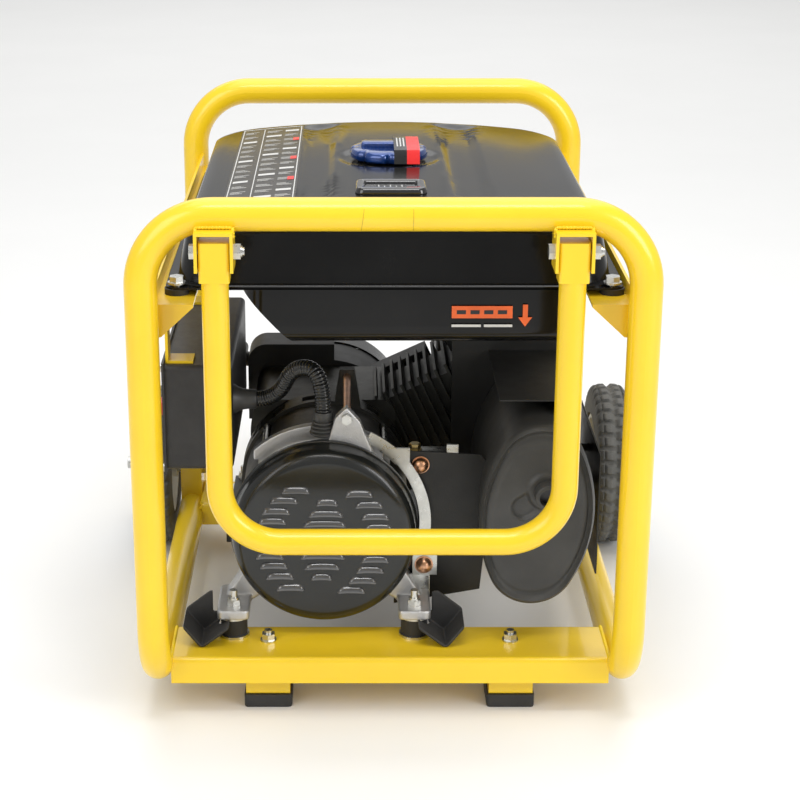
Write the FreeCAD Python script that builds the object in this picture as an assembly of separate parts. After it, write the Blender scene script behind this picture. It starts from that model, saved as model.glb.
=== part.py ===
"""Portable generator: open tube frame, inclined engine, alternator, tank, wheels, tow handle.

All lengths in millimetres.  X runs across the frame, Z up from the floor.  Inside this file Y is
measured back from the plane of the front hoop; save() moves everything so that the middle of the
overall length lies on the origin.
"""
import FreeCAD, Part
import math
import os

V = FreeCAD.Vector

# ---------------------------------------------------------------- driving dimensions
FRONT_SHIFT = -334.5          # moves the front hoop plane to its place in the part's frame

TUBE_R = 16.0                 # frame tube, 32 mm outside
TUBE_WALL = 2.0
HALF_W = 240.0                # tube centre line to the middle plane
HOOP_Y = 683.0                # rear hoop plane behind the front hoop plane
HOOP_TOP = 540.0              # centre line of the top tubes
HOOP_BEND = 70.0
BASE_Z = 48.5                 # centre line of the base tubes
BASE_BEND = 65.0
RAIL_START = 90.0             # hoops end and base tubes start here

CROSS_TOP = 66.0              # top face of the cross members
CROSS_LIP = 38.0
CROSS_DEPTH = 80.0
CROSS_Y = (25.0, 450.0)       # front edges of the two cross members
SHEET = 3.0

FOOT_X = 127.0
FOOT_W = 46.0
FOOT_RUBBER = 14.4

HANDLE_R = 13.0
HANDLE_X = 168.0
HANDLE_Y = -15.0
HANDLE_LOW = 213.7
HANDLE_BEND = 58.0
PIVOT_Z = 508.0
BLOCK_W = 29.0
CLIP_IN = 30.6
CLIP_SHEET = 3.0

WHEEL_R = 99.7
WHEEL_W = 44.0
WHEEL_X = 282.5
WHEEL_Y = 506.0
AXLE_R = 7.5
AXLE_END = 322.0

CRANK_X = -68.6               # crankshaft axis, parallel to Y
CRANK_Z = 177.0
TILT = 25.0                   # cylinder axis above the horizontal
CYL_Y = 335.0                 # cylinder axis position

COVER_R = 99.0                # alternator end cover
COVER_Y = (76.0, 108.0)
STATOR_Y = (136.0, 246.0)
ROTOR_R = 55.0
CASE_Y = (276.0, 398.0)

TANK_X = (-222.0, 227.0)
TANK_Y = (48.0, 598.0)
TANK_SEAM = 455.0
TANK_TOP = 512.0
TANK_BOTTOM = 392.0
TANK_SHEET = 2.0
FILLER = (2.0, 360.0)
FILLER_R = 24.0

MUFFLER_C = (151.0, 206.0)
MUFFLER_A = 59.0              # half width
MUFFLER_B = 99.0              # half height
MUFFLER_END_R = 46.0
MUFFLER_LEAN = 4.0
MUFFLER_Y = (76.0, 268.0)

PANEL_Y = (150.0, 420.0)
PANEL_X = (-236.0, -165.0)
PANEL_Z = (226.0, 342.0)

RECOIL_Y = (474.0, 522.0)
ROPE_R = 2.5
ROPE_REEL = 35.0              # radius the rope leaves the reel at
ROPE_RISE = 15.0              # rope direction above the horizontal
PULLEY_Y = 498.0


# ---------------------------------------------------------------- helpers
def box(x0, x1, y0, y1, z0, z1):
    return Part.makeBox(x1 - x0, y1 - y0, z1 - z0, V(x0, y0, z0))


def rod(p, q, r):
    """Round bar between two points."""
    a = V(*p)
    b = V(*q)
    return Part.makeCylinder(r, (b - a).Length, a, b - a)


def cyl_x(y, z, r, x0, x1):
    return rod((x0, y, z), (x1, y, z), r)


def cyl_y(x, z, r, y0, y1):
    return rod((x, y0, z), (x, y1, z), r)


def cyl_z(x, y, r, z0, z1):
    return rod((x, y, z0), (x, y, z1), r)


def hexagon(p, q, across):
    """Six-sided bar between two points, measured across the flats."""
    a = V(*p)
    b = V(*q)
    ring = []
    for i in range(6):
        angle = math.radians(60 * i + 30)
        reach = across / math.sqrt(3)
        ring.append(V(reach * math.cos(angle), reach * math.sin(angle), 0))
    face = Part.Face(Part.makePolygon(ring + ring[:1]))
    bar = face.extrude(V(0, 0, (b - a).Length))
    bar.Placement = FreeCAD.Placement(a, FreeCAD.Rotation(V(0, 0, 1), b - a))
    return bar


def plate(points, thickness):
    """Flat plate: polygon of 3-D points pushed along the thickness vector."""
    ring = [V(*p) for p in points]
    face = Part.Face(Part.makePolygon(ring + ring[:1]))
    return face.extrude(V(*thickness))


def bent_wire(points, radius):
    """Polyline whose inner corners become tangent arcs of one radius."""
    pts = [V(*p) for p in points]
    edges = []
    start = pts[0]
    for i in range(1, len(pts) - 1):
        back = (pts[i - 1] - pts[i]).normalize()
        ahead = (pts[i + 1] - pts[i]).normalize()
        half = back.getAngle(ahead) / 2
        setback = radius / math.tan(half)
        first = pts[i] + back * setback
        last = pts[i] + ahead * setback
        bisector = (back + ahead).normalize()
        centre = pts[i] + bisector * (radius / math.sin(half))
        middle = centre - bisector * radius
        if (first - start).Length > 1e-6:
            edges.append(Part.LineSegment(start, first).toShape())
        edges.append(Part.Arc(first, middle, last).toShape())
        start = last
    edges.append(Part.LineSegment(start, pts[-1]).toShape())
    return Part.Wire(edges)


def bent_bar(points, radius, r):
    """Round bar swept along a bent wire."""
    wire = bent_wire(points, radius)
    a = V(*points[0])
    b = V(*points[1])
    ring = Part.Wire(Part.Circle(a, b - a, r).toShape())
    return wire.makePipeShell([ring], True, False)


def bent_tube(points, radius, r, wall):
    return bent_bar(points, radius, r).cut(bent_bar(points, radius, r - wall))


def mirror_x(shape):
    return shape.mirror(V(0, 0, 0), V(1, 0, 0))


def both_sides(shape):
    return [shape, mirror_x(shape)]


def round_edges(shape, radius, wanted):
    """Fillet the straight edges whose middle point satisfies the test."""
    edges = [e for e in shape.Edges if wanted(e.CenterOfMass, e)]
    return shape.makeFillet(radius, edges)


def is_vertical(edge):
    if edge.Curve.TypeId != "Part::GeomLine":
        return False
    return abs(edge.tangentAt(edge.FirstParameter).z) > 0.999


def rounded_block(x0, x1, y0, y1, z0, z1, r):
    """Block with rounded upright edges."""
    return round_edges(box(x0, x1, y0, y1, z0, z1), r, lambda c, e: is_vertical(e))


def join(*shapes):
    out = shapes[0]
    for s in shapes[1:]:
        out = out.fuse(s)
    return out.removeSplitter()


def oval_face(a, b, end_r, x, z, y, lean):
    """Upright four-arc oval in a plane of constant Y, leaning about its middle."""
    off = b - end_r
    side_r = (off * off + a * a - end_r * end_r) / (2 * (a - end_r))
    reach = side_r - a
    span = math.hypot(reach, off)
    tx = -reach + reach * side_r / span
    tz = off * side_r / span
    edges = [
        Part.Arc(V(tx, 0, -tz), V(a, 0, 0), V(tx, 0, tz)).toShape(),
        Part.Arc(V(tx, 0, tz), V(0, 0, b), V(-tx, 0, tz)).toShape(),
        Part.Arc(V(-tx, 0, tz), V(-a, 0, 0), V(-tx, 0, -tz)).toShape(),
        Part.Arc(V(-tx, 0, -tz), V(0, 0, -b), V(tx, 0, -tz)).toShape(),
    ]
    face = Part.Face(Part.Wire(edges))
    face.rotate(V(0, 0, 0), V(0, 1, 0), lean)
    face.translate(V(x, y, z))
    return face


def along(t, s=0.0):
    """Point on the cylinder axis plane: t out from the crankshaft, s square to it (upwards)."""
    c = math.cos(math.radians(TILT))
    n = math.sin(math.radians(TILT))
    return CRANK_X + t * c - s * n, CRANK_Z + t * n + s * c


def tilted_block(t0, t1, s0, s1, y0, y1):
    """Block whose length follows the cylinder axis."""
    block = box(t0, t1, y0, y1, s0, s1)
    block.rotate(V(0, 0, 0), V(0, 1, 0), -TILT)
    block.translate(V(CRANK_X, 0, CRANK_Z))
    return block


def save(name, *shapes):
    """Write one node; several solids stay separate inside it."""
    solids = []
    for s in shapes:
        solids += s.Solids
    group = solids[0] if len(solids) == 1 else Part.makeCompound(solids)
    group = group.copy()
    group.translate(V(0, FRONT_SHIFT, 0))
    if not group.isValid():
        print("NOT VALID", name)
    group.exportStep("parts/%s.step" % name)
    bb = group.BoundBox
    print("%-26s %2d  x %7.1f %7.1f  y %7.1f %7.1f  z %6.1f %6.1f  v %.0f" % (
        name, len(solids), bb.XMin, bb.XMax, bb.YMin, bb.YMax, bb.ZMin, bb.ZMax, group.Volume))


os.makedirs("parts", exist_ok=True)

# ---------------------------------------------------------------- tube frame
def hoop_points(plane, inward):
    end = plane + inward * RAIL_START
    return [
        (-HALF_W, end, BASE_Z), (-HALF_W, plane, BASE_Z), (-HALF_W, plane, HOOP_TOP),
        (HALF_W, plane, HOOP_TOP), (HALF_W, plane, BASE_Z), (HALF_W, end, BASE_Z),
    ]


def hoop(plane, inward, r):
    """Hoop with its feet bent inward; the lower and upper bends differ in radius."""
    x, z, end = HALF_W, BASE_Z, plane + inward * RAIL_START
    knee = plane + inward * BASE_BEND
    k = 1 - math.sqrt(0.5)
    low = BASE_BEND * k
    top = HOOP_BEND * k
    edges = []
    left = V(-x, plane, z + BASE_BEND)
    right = V(x, plane, z + BASE_BEND)
    edges.append(Part.LineSegment(V(-x, end, z), V(-x, knee, z)).toShape())
    edges.append(Part.Arc(V(-x, knee, z), V(-x, plane + inward * low, z + low), left).toShape())
    edges.append(Part.LineSegment(left, V(-x, plane, HOOP_TOP - HOOP_BEND)).toShape())
    edges.append(Part.Arc(V(-x, plane, HOOP_TOP - HOOP_BEND), V(-x + top, plane, HOOP_TOP - top),
                          V(-x + HOOP_BEND, plane, HOOP_TOP)).toShape())
    edges.append(Part.LineSegment(V(-x + HOOP_BEND, plane, HOOP_TOP),
                                  V(x - HOOP_BEND, plane, HOOP_TOP)).toShape())
    edges.append(Part.Arc(V(x - HOOP_BEND, plane, HOOP_TOP), V(x - top, plane, HOOP_TOP - top),
                          V(x, plane, HOOP_TOP - HOOP_BEND)).toShape())
    edges.append(Part.LineSegment(V(x, plane, HOOP_TOP - HOOP_BEND), right).toShape())
    edges.append(Part.Arc(right, V(x, plane + inward * low, z + low), V(x, knee, z)).toShape())
    edges.append(Part.LineSegment(V(x, knee, z), V(x, end, z)).toShape())
    ring = Part.Wire(Part.Circle(V(-x, end, z), V(0, -inward, 0), r).toShape())
    return Part.Wire(edges).makePipeShell([ring], True, False)


front_solid = hoop(0.0, 1, TUBE_R)
rear_solid = hoop(HOOP_Y, -1, TUBE_R)
front_hoop = front_solid.cut(hoop(0.0, 1, TUBE_R - TUBE_WALL))
rear_hoop = rear_solid.cut(hoop(HOOP_Y, -1, TUBE_R - TUBE_WALL))
rail_solids = []
base_rails = []
for side in (-1, 1):
    ends = ((side * HALF_W, RAIL_START, BASE_Z), (side * HALF_W, HOOP_Y - RAIL_START, BASE_Z))
    rail_solids.append(rod(ends[0], ends[1], TUBE_R))
    base_rails.append(rail_solids[-1].cut(rod(ends[0], ends[1], TUBE_R - TUBE_WALL)))
frame_tubes = [front_solid, rear_solid] + rail_solids


def trim(shape):
    """Cope a welded piece against the frame tubes."""
    for tube in frame_tubes:
        shape = shape.cut(tube)
    return max(shape.Solids, key=lambda s: s.Volume)


def cross_member(y0):
    y1 = y0 + CROSS_DEPTH
    x = HALF_W - 14
    outer = round_edges(box(-x, x, y0, y1, CROSS_LIP, CROSS_TOP), 6.0,
                        lambda c, e: c.z > CROSS_TOP - 0.1 and abs(c.x) < 1)
    inner = round_edges(box(-x - 1, x + 1, y0 + SHEET, y1 - SHEET, CROSS_LIP - 1, CROSS_TOP - SHEET),
                        3.0, lambda c, e: c.z > CROSS_TOP - SHEET - 0.1 and abs(c.x) < 1)
    member = outer.cut(inner)
    for sx in (-FOOT_X, FOOT_X):
        member = member.cut(cyl_z(sx, y0 + CROSS_DEPTH / 2 + 4, 4.2, 40, 70))
    return trim(member)


def foot_bracket(sx, y0):
    """Shallow tray welded inside the cross member, its floor holding the rubber foot."""
    x0, x1 = sx - FOOT_W / 2, sx + FOOT_W / 2
    yc = y0 + CROSS_DEPTH / 2 + 4
    y_lo, y_hi = yc - 24, yc + 24
    tray = box(x0, x1, y_lo, y_hi, FOOT_RUBBER, CROSS_TOP - SHEET)
    tray = round_edges(tray, 4.0, lambda c, e: c.z < FOOT_RUBBER + 0.1 and abs(c.x - sx) < 1)
    tray = tray.cut(box(x0 - 1, x1 + 1, y_lo + SHEET, y_hi - SHEET, FOOT_RUBBER + SHEET, 80))
    return tray.cut(cyl_z(sx, yc, 4.2, 10, 20))


cross_members = [cross_member(y0) for y0 in CROSS_Y]
foot_brackets, feet, foot_bolts = [], [], []
for y0 in CROSS_Y:
    yc = y0 + CROSS_DEPTH / 2 + 4
    for sx in (-FOOT_X, FOOT_X):
        foot_brackets.append(foot_bracket(sx, y0))
        foot = rounded_block(sx - 25, sx + 25, yc - 25, yc + 25, 0, FOOT_RUBBER, 4)
        foot = foot.cut(cyl_z(sx, yc, 9, -1, 8)).cut(cyl_z(sx, yc, 4.2, 0, 20))
        feet.append(foot)
        bolt = join(cyl_z(sx, yc, 8, 3.2, 8), cyl_z(sx, yc, 4.0, 8, 78),
                    cyl_z(sx, yc, 8.5, CROSS_TOP, CROSS_TOP + 1.6),
                    hexagon((sx, yc, CROSS_TOP + 1.6), (sx, yc, CROSS_TOP + 8.2), 13))
        foot_bolts.append(bolt)


def side_rail(side):
    """Angle rail between the posts that carries the tank flange, with a web under each end."""
    x_out, x_in = 232.0, 192.0
    piece = box(x_out - SHEET, x_out, 9, HOOP_Y - 9, 428, 462)
    piece = piece.fuse(box(x_in, x_out - 1, 18, HOOP_Y - 18, 447 - SHEET, 447))
    for y0 in (18.0, HOOP_Y - 18.0 - SHEET):
        pts = [(x_in, y0, 444), (x_out - 1, y0, 444), (x_out - 1, y0, 414), (x_out - 8, y0, 414)]
        piece = piece.fuse(plate(pts, (0, SHEET, 0)))
    if side < 0:
        piece = mirror_x(piece)
    return trim(piece)


side_rails = [side_rail(-1), side_rail(1)]


# ---------------------------------------------------------------- tow handle
def clip(side):
    """Folded bracket welded under the top tube; open below and in front for the swing."""
    half = CLIP_IN / 2
    x0 = side * HANDLE_X
    outer = box(x0 - half - CLIP_SHEET, x0 + half + CLIP_SHEET, HANDLE_Y - 15, 6, 490.6, 528.6)
    inner = box(x0 - half, x0 + half, HANDLE_Y - 20, 7, 480, 525.6)
    piece = outer.cut(inner)
    piece = piece.cut(cyl_x(HANDLE_Y, PIVOT_Z, 4.1, x0 - 30, x0 + 30))
    return trim(piece)


def pivot_bolt(side):
    x0 = side * HANDLE_X
    half = CLIP_IN / 2 + CLIP_SHEET
    head = hexagon((x0 - half - 5.4, HANDLE_Y, PIVOT_Z), (x0 - half, HANDLE_Y, PIVOT_Z), 13)
    shank = cyl_x(HANDLE_Y, PIVOT_Z, 4.0, x0 - half, x0 + half + 10)
    nut = hexagon((x0 + half, HANDLE_Y, PIVOT_Z), (x0 + half + 6.5, HANDLE_Y, PIVOT_Z), 13)
    collar = cyl_x(HANDLE_Y, PIVOT_Z, 5.4, x0 + half + 6.5, x0 + half + 8)
    return join(head, shank, nut, collar)


def end_block(side):
    x0 = side * HANDLE_X
    half = BLOCK_W / 2
    block = box(x0 - half, x0 + half, HANDLE_Y - 12.5, HANDLE_Y + 12.5, 480.0, PIVOT_Z + 10.5)
    block = round_edges(block, 3.0, lambda c, e: is_vertical(e))
    return block.cut(cyl_x(HANDLE_Y, PIVOT_Z, 4.06, x0 - 30, x0 + 30))


handle_run = [(-HANDLE_X, HANDLE_Y, 480.0), (-HANDLE_X, HANDLE_Y, HANDLE_LOW),
              (HANDLE_X, HANDLE_Y, HANDLE_LOW), (HANDLE_X, HANDLE_Y, 480.0)]
handle_tube = bent_tube(handle_run, HANDLE_BEND, HANDLE_R, TUBE_WALL)


# ---------------------------------------------------------------- wheels and stub axles
def axle_bracket():
    """Folded bracket standing on the right base tube."""
    x0, x1 = 228.0, 254.0
    y0, y1 = WHEEL_Y - 20, WHEEL_Y + 20
    outer = box(x0, x1, y0, y1, BASE_Z, WHEEL_R + 19)
    inner = box(x0 + 4, x1 - 4, y0 + 4, y1 + 1, BASE_Z - 1, WHEEL_R + 20)
    piece = outer.cut(inner).cut(cyl_x(WHEEL_Y, WHEEL_R, AXLE_R, x0 - 1, x1 + 1))
    return trim(piece)


def axle():
    head = hexagon((219.0, WHEEL_Y, WHEEL_R), (228.0, WHEEL_Y, WHEEL_R), 24)
    shank = cyl_x(WHEEL_Y, WHEEL_R, AXLE_R, 219, AXLE_END)
    collar = cyl_x(WHEEL_Y, WHEEL_R, 12, 254, 259)
    return join(head, shank, collar).cut(cyl_z(314.0, WHEEL_Y, 1.6, 80, 120))


def tyre():
    ring = cyl_x(WHEEL_Y, WHEEL_R, WHEEL_R, WHEEL_X - WHEEL_W / 2, WHEEL_X + WHEEL_W / 2)
    ring = round_edges(ring, 10.0, lambda c, e: e.Curve.TypeId == "Part::GeomCircle")
    return ring.cut(cyl_x(WHEEL_Y, WHEEL_R, 62, 200, 350))


def rim():
    half = WHEEL_W / 2
    barrel = cyl_x(WHEEL_Y, WHEEL_R, 62, WHEEL_X - half + 3, WHEEL_X + half - 3)
    barrel = barrel.cut(cyl_x(WHEEL_Y, WHEEL_R, 57, 200, 350))
    disc = cyl_x(WHEEL_Y, WHEEL_R, 58, WHEEL_X - 2, WHEEL_X + 2)
    for i in range(5):
        a = math.radians(72 * i + 90)
        y, z = WHEEL_Y + 37 * math.cos(a), WHEEL_R + 37 * math.sin(a)
        disc = disc.cut(cyl_x(y, z, 11, 270, 300))
    hub = cyl_x(WHEEL_Y, WHEEL_R, 17, WHEEL_X - half - 1, WHEEL_X + half + 1)
    return join(barrel, disc, hub).cut(cyl_x(WHEEL_Y, WHEEL_R, AXLE_R + 0.06, 200, 350))


axle_washer = cyl_x(WHEEL_Y, WHEEL_R, 13, 307, 309).cut(cyl_x(WHEEL_Y, WHEEL_R, AXLE_R, 300, 320))
split_pin = cyl_z(314.0, WHEEL_Y, 1.6, WHEEL_R - 13, WHEEL_R + 11)
pin_eye = Part.makeTorus(3.2, 1.4, V(314, WHEEL_Y, WHEEL_R + 14), V(1, 0, 0))
split_pin = split_pin.fuse(pin_eye)


# ---------------------------------------------------------------- alternator
def axis_y(r, y0, y1):
    return cyl_y(CRANK_X, CRANK_Z, r, y0, y1)


def ring_y(r_out, r_in, y0, y1):
    return axis_y(r_out, y0, y1).cut(axis_y(r_in, y0 - 1, y1 + 1))


LOUVRE_COLUMNS = (
    (-51.0, 7, 26.0),
    (0.0, 9, 30.0),
    (51.0, 7, 26.0),
)
LOUVRE_PITCH = 15.5
LOUVRE_H = 5.0


def end_cover():
    """Pressed dome with louvre slots over the alternator's outer end."""
    y0, y1 = COVER_Y
    outer = round_edges(axis_y(COVER_R, y0, y1), 14.0,
                        lambda c, e: abs(c.y - y0) < 0.1 and e.Closed)
    inner = round_edges(axis_y(COVER_R - 1.6, y0 + 1.6, y1 + 1), 12.4,
                        lambda c, e: abs(c.y - y0 - 1.6) < 0.1 and e.Closed)
    cover = outer.cut(inner)
    for dx, rows, width in LOUVRE_COLUMNS:
        for row in range(rows):
            z = CRANK_Z + (row - (rows - 1) / 2) * LOUVRE_PITCH
            x = CRANK_X + dx
            slot = box(x - width / 2, x + width / 2, y0 - 1, y0 + 4, z - LOUVRE_H / 2,
                       z + LOUVRE_H / 2)
            cover = cover.cut(slot)
    return cover


TOP_BOLT = (CRANK_X + 24.0, CRANK_Z + 122.0)


def end_bracket():
    """Cast bracket: rim, four spokes, bearing hub and two feet."""
    y0, y1 = COVER_Y[1], STATOR_Y[0]
    body = ring_y(92, 78, y0, y1)
    hub = axis_y(26, y0 + 2, y1)
    spokes = []
    for angle in (45, 135, 225, 315):
        bar = box(20, 82, y0 + 6, y1, -7, 7)
        bar.rotate(V(0, 0, 0), V(0, 1, 0), angle)
        bar.translate(V(CRANK_X, 0, CRANK_Z))
        spokes.append(bar)
    feet_parts = []
    for side in (-1, 1):
        x = CRANK_X + side * 95
        leg = [(CRANK_X + side * 108, y0, 92), (CRANK_X + side * 80, y0, 92),
               (CRANK_X + side * 48, y0, 112), (CRANK_X + side * 76, y0, 142)]
        feet_parts.append(plate(leg, (0, y1 - y0, 0)))
        feet_parts.append(rounded_block(x - 17, x + 17, 66, y1, 90, 100, 6))
    lug = plate([(CRANK_X + 2, y0, CRANK_Z + 88), (CRANK_X + 60, y0, CRANK_Z + 62),
                 (CRANK_X + 38, y0, CRANK_Z + 118), (CRANK_X + 24, y0, CRANK_Z + 134),
                 (CRANK_X + 12, y0, CRANK_Z + 122)], (0, 12, 0))
    crest = ring_y(109, 92, 125.5, y1).common(
        box(CRANK_X - 74, CRANK_X + 62, 125, y1, CRANK_Z + 70, CRANK_Z + 120))
    casting = join(body, hub, *spokes, *feet_parts, lug, crest)
    casting = casting.cut(cyl_y(*TOP_BOLT, 3.6, y0 - 1, y1))
    casting = casting.cut(axis_y(11.05, y0, y1 + 1)).cut(axis_y(78, y0 - 1, y0 + 2))
    for side in (-1, 1):
        casting = casting.cut(cyl_z(CRANK_X + side * 95, 84, 4.2, 80, 110))
    return casting.cut(axis_y(COVER_R + 0.3, 0, COVER_Y[1]))


def stator():
    y0, y1 = STATOR_Y
    core = ring_y(90, ROTOR_R + 2, y0, y1)
    for angle in (45, 135, 225, 315):
        a = math.radians(angle)
        groove = cyl_y(CRANK_X + 91 * math.cos(a), CRANK_Z + 91 * math.sin(a), 6, y0 - 1, y1 + 1)
        core = core.cut(groove)
    return core


def through_bolt(angle):
    a = math.radians(angle)
    x, z = CRANK_X + 91 * math.cos(a), CRANK_Z + 91 * math.sin(a)
    y0, y1 = STATOR_Y
    return join(cyl_y(x, z, 3.5, y0, y1), hexagon((x, y0, z), (x, y0 + 5, z), 10))


def top_bolt():
    """Long bolt over the stator, from the end bracket's lug to the adaptor's ear."""
    x, z = TOP_BOLT
    y0, y1 = COVER_Y[1], STATOR_Y[1]
    return join(hexagon((x, y0 - 5.5, z), (x, y0, z), 10), cyl_y(x, z, 3.5, y0, y1))


def adaptor():
    """Cast bell between stator and crankcase with air outlets round its side."""
    bell = ring_y(94, 84, STATOR_Y[1], CASE_Y[0])
    ear = plate([(CRANK_X + 10, STATOR_Y[1], CRANK_Z + 90), (CRANK_X + 40, STATOR_Y[1], CRANK_Z + 80),
                 (CRANK_X + 32, STATOR_Y[1], CRANK_Z + 130), (CRANK_X + 16, STATOR_Y[1], CRANK_Z + 130)],
                (0, 12, 0))
    bell = join(bell, ear.cut(axis_y(90, STATOR_Y[1], CASE_Y[0])))
    for i in range(16):
        slot = box(80, 100, STATOR_Y[1] + 8, CASE_Y[0] - 8, -8, 8)
        slot.rotate(V(0, 0, 0), V(0, 1, 0), 22.5 * i + 11.25)
        slot.translate(V(CRANK_X, 0, CRANK_Z))
        bell = bell.cut(slot)
    return bell


def alternator_fan():
    disc = ring_y(74, 15, 264, 266)
    blades = []
    for i in range(12):
        blade = box(34, 76, 250, 265, -1, 1)
        blade.rotate(V(0, 0, 0), V(0, 1, 0), 30 * i)
        blade.translate(V(CRANK_X, 0, CRANK_Z))
        blades.append(blade)
    return join(disc, *blades)


rotor_core = join(axis_y(ROTOR_R, 150, 236), axis_y(11, 111, 262)).cut(axis_y(4, 100, 130))
for angle in (0, 180):
    for dx in (-26, 26):
        slot = box(dx - 5, dx + 5, 149, 237, 44, 60)
        slot.rotate(V(0, 0, 0), V(0, 1, 0), angle)
        slot.translate(V(CRANK_X, 0, CRANK_Z))
        rotor_core = rotor_core.cut(slot)
crankshaft = join(axis_y(15, 262, 462), axis_y(10, 462, 472))


# ---------------------------------------------------------------- engine
def crankcase():
    y0, y1 = CASE_Y
    body = round_edges(box(CRANK_X - 82, CRANK_X + 78, y0, y1, 92, 262), 18.0,
                       lambda c, e: e.Curve.TypeId == "Part::GeomLine"
                       and abs(e.tangentAt(e.FirstParameter).y) > 0.99)
    neck = tilted_block(30, 76, -50, 50, CYL_Y - 50, CYL_Y + 50)
    boss = rod((CRANK_X + 70, 372, 118), (CRANK_X + 96, 372, 130), 14)
    side_cover = axis_y(70, y1, y1 + 2)
    case = join(body, neck, boss, side_cover)
    hole = rod((CRANK_X + 40, 372, 104.15), (CRANK_X + 100, 372, 131.85), 8)
    return case.cut(axis_y(15.06, y0 - 1, y1 + 3)).cut(hole)


def finned(t0, t1, core, reach, y_core, y_reach, pitch, thick):
    body = tilted_block(t0, t1, -core, core, CYL_Y - y_core, CYL_Y + y_core)
    fins = []
    count = int((t1 - t0 - thick) / pitch) + 1
    for i in range(count):
        t = t0 + i * pitch
        fins.append(tilted_block(t, t + thick, -reach, reach, CYL_Y - y_reach, CYL_Y + y_reach))
    return join(body, *fins)


def rocker_cover():
    block = box(212, 244, CYL_Y - 38, CYL_Y + 38, -36, 36)
    block = round_edges(block, 7.0, lambda c, e: c.x > 225)
    lip = box(212, 216, CYL_Y - 43, CYL_Y + 43, -41, 41)
    cover = join(block, lip)
    cover.rotate(V(0, 0, 0), V(0, 1, 0), -TILT)
    cover.translate(V(CRANK_X, 0, CRANK_Z))
    return cover


def engine_base():
    """Foot plate under the crankcase with two arms back to the rear mounts."""
    x0, x1 = CRANK_X - 116, CRANK_X + 116
    pad = box(x0, x1, 292, 384, 82, 92)
    arms = [box(x0, x0 + 22, 384, 480, 82, 92), box(x1 - 22, x1, 384, 480, 82, 92)]
    piece = join(pad, *arms)
    for side in (-1, 1):
        piece = piece.cut(cyl_z(CRANK_X + side * 105, 470, 4.2, 70, 100))
    return piece


def y_at(t, s, y):
    x, z = along(t, s)
    return x, y, z


plug_cap = join(rod(y_at(192, 58, 318), y_at(192, 92, 318), 9.5),
                rod(y_at(192, 88, 318), y_at(168, 88, 318), 7))
base_bolts = []
for bx in (CRANK_X - 70, CRANK_X + 66):
    for by in (300, 376):
        base_bolts.append(join(hexagon((bx, by, 75.5), (bx, by, 82), 13)))


# ---------------------------------------------------------------- cooling fan and recoil starter
def fan_shroud():
    y0, y1 = 402.0, RECOIL_Y[0] - 4
    drum = ring_y(92, 90.5, y0, y1)
    front = ring_y(92, 72, y0, y0 + 1.5)
    duct = tilted_block(70, 150, -46, 46, y0, y0 + 34).cut(
        tilted_block(60, 151, -44.5, 44.5, y0 + 1.5, y0 + 32.5))
    duct = duct.cut(axis_y(92, y0 - 1, y1))
    cowl = round_edges(box(-162, -60, y0, y0 + 48, 195, 288), 22.0,
                       lambda c, e: c.x < -161 and c.z > 287)
    hollow = round_edges(box(-160.5, -50, y0 + 1.5, y0 + 49, 190, 286.5), 20.5,
                         lambda c, e: c.x < -160 and c.z > 286)
    cowl = cowl.cut(hollow).cut(axis_y(90.5, y0 - 1, y1 + 1))
    return join(drum, front, duct, cowl)


def flywheel():
    disc = axis_y(76, 412, 436)
    vanes = []
    for i in range(16):
        vane = box(40, 80, 436, 454, -1.5, 1.5)
        vane.rotate(V(0, 0, 0), V(0, 1, 0), 22.5 * i)
        vane.translate(V(CRANK_X, 0, CRANK_Z))
        vanes.append(vane)
    return join(disc, *vanes).cut(axis_y(15, 400, 470))


def rope_point(distance):
    """Point on the straight rope line, measured outwards from where it leaves the reel."""
    c = math.cos(math.radians(ROPE_RISE))
    n = math.sin(math.radians(ROPE_RISE))
    x = CRANK_X + ROPE_REEL * n - distance * c
    z = CRANK_Z + ROPE_REEL * c + distance * n
    return x, PULLEY_Y, z


def recoil_housing():
    y0, y1 = RECOIL_Y
    outer = round_edges(axis_y(94, y0 - 4, y1), 12.0, lambda c, e: abs(c.y - y1) < 0.1 and e.Closed)
    inner = round_edges(axis_y(92.2, y0 - 5, y1 - 2), 10.5,
                        lambda c, e: abs(c.y - y1 + 2) < 0.1 and e.Closed)
    cup = outer.cut(inner)
    spindle = axis_y(6, PULLEY_Y - 9, y1 - 1)
    guide = rod(rope_point(80), rope_point(108), 8)
    cup = join(cup, spindle, guide)
    cup = cup.cut(rod(rope_point(0), rope_point(120), ROPE_R + 1.2))
    for i in range(12):
        slot = box(52, 78, y1 - 5, y1 + 1, -4, 4)
        slot.rotate(V(0, 0, 0), V(0, 1, 0), 30 * i)
        slot.translate(V(CRANK_X, 0, CRANK_Z))
        cup = cup.cut(slot)
    return cup


def recoil_reel():
    half = 8.0
    reel = axis_y(ROPE_REEL - ROPE_R - 0.4, PULLEY_Y - half, PULLEY_Y + half)
    lip = axis_y(44, PULLEY_Y - half, PULLEY_Y - half + 2)
    lip2 = axis_y(44, PULLEY_Y + half - 2, PULLEY_Y + half)
    return join(reel, lip, lip2).cut(axis_y(6.06, 480, 515))


def recoil_grip():
    grip = rod(rope_point(109), rope_point(131), 9)
    a, b = V(*rope_point(122)), V(0, 1, 0)
    bar = Part.makeCylinder(8.5, 84, a - b * 42, b)
    return join(grip, bar)


# ---------------------------------------------------------------- muffler
def muffler_oval(grow, y):
    return oval_face(MUFFLER_A + grow, MUFFLER_B + grow, MUFFLER_END_R + grow,
                     MUFFLER_C[0], MUFFLER_C[1], y, MUFFLER_LEAN)


def muffler_slice(grow, y0, y1):
    return muffler_oval(grow, y0).extrude(V(0, y1 - y0, 0))


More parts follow.
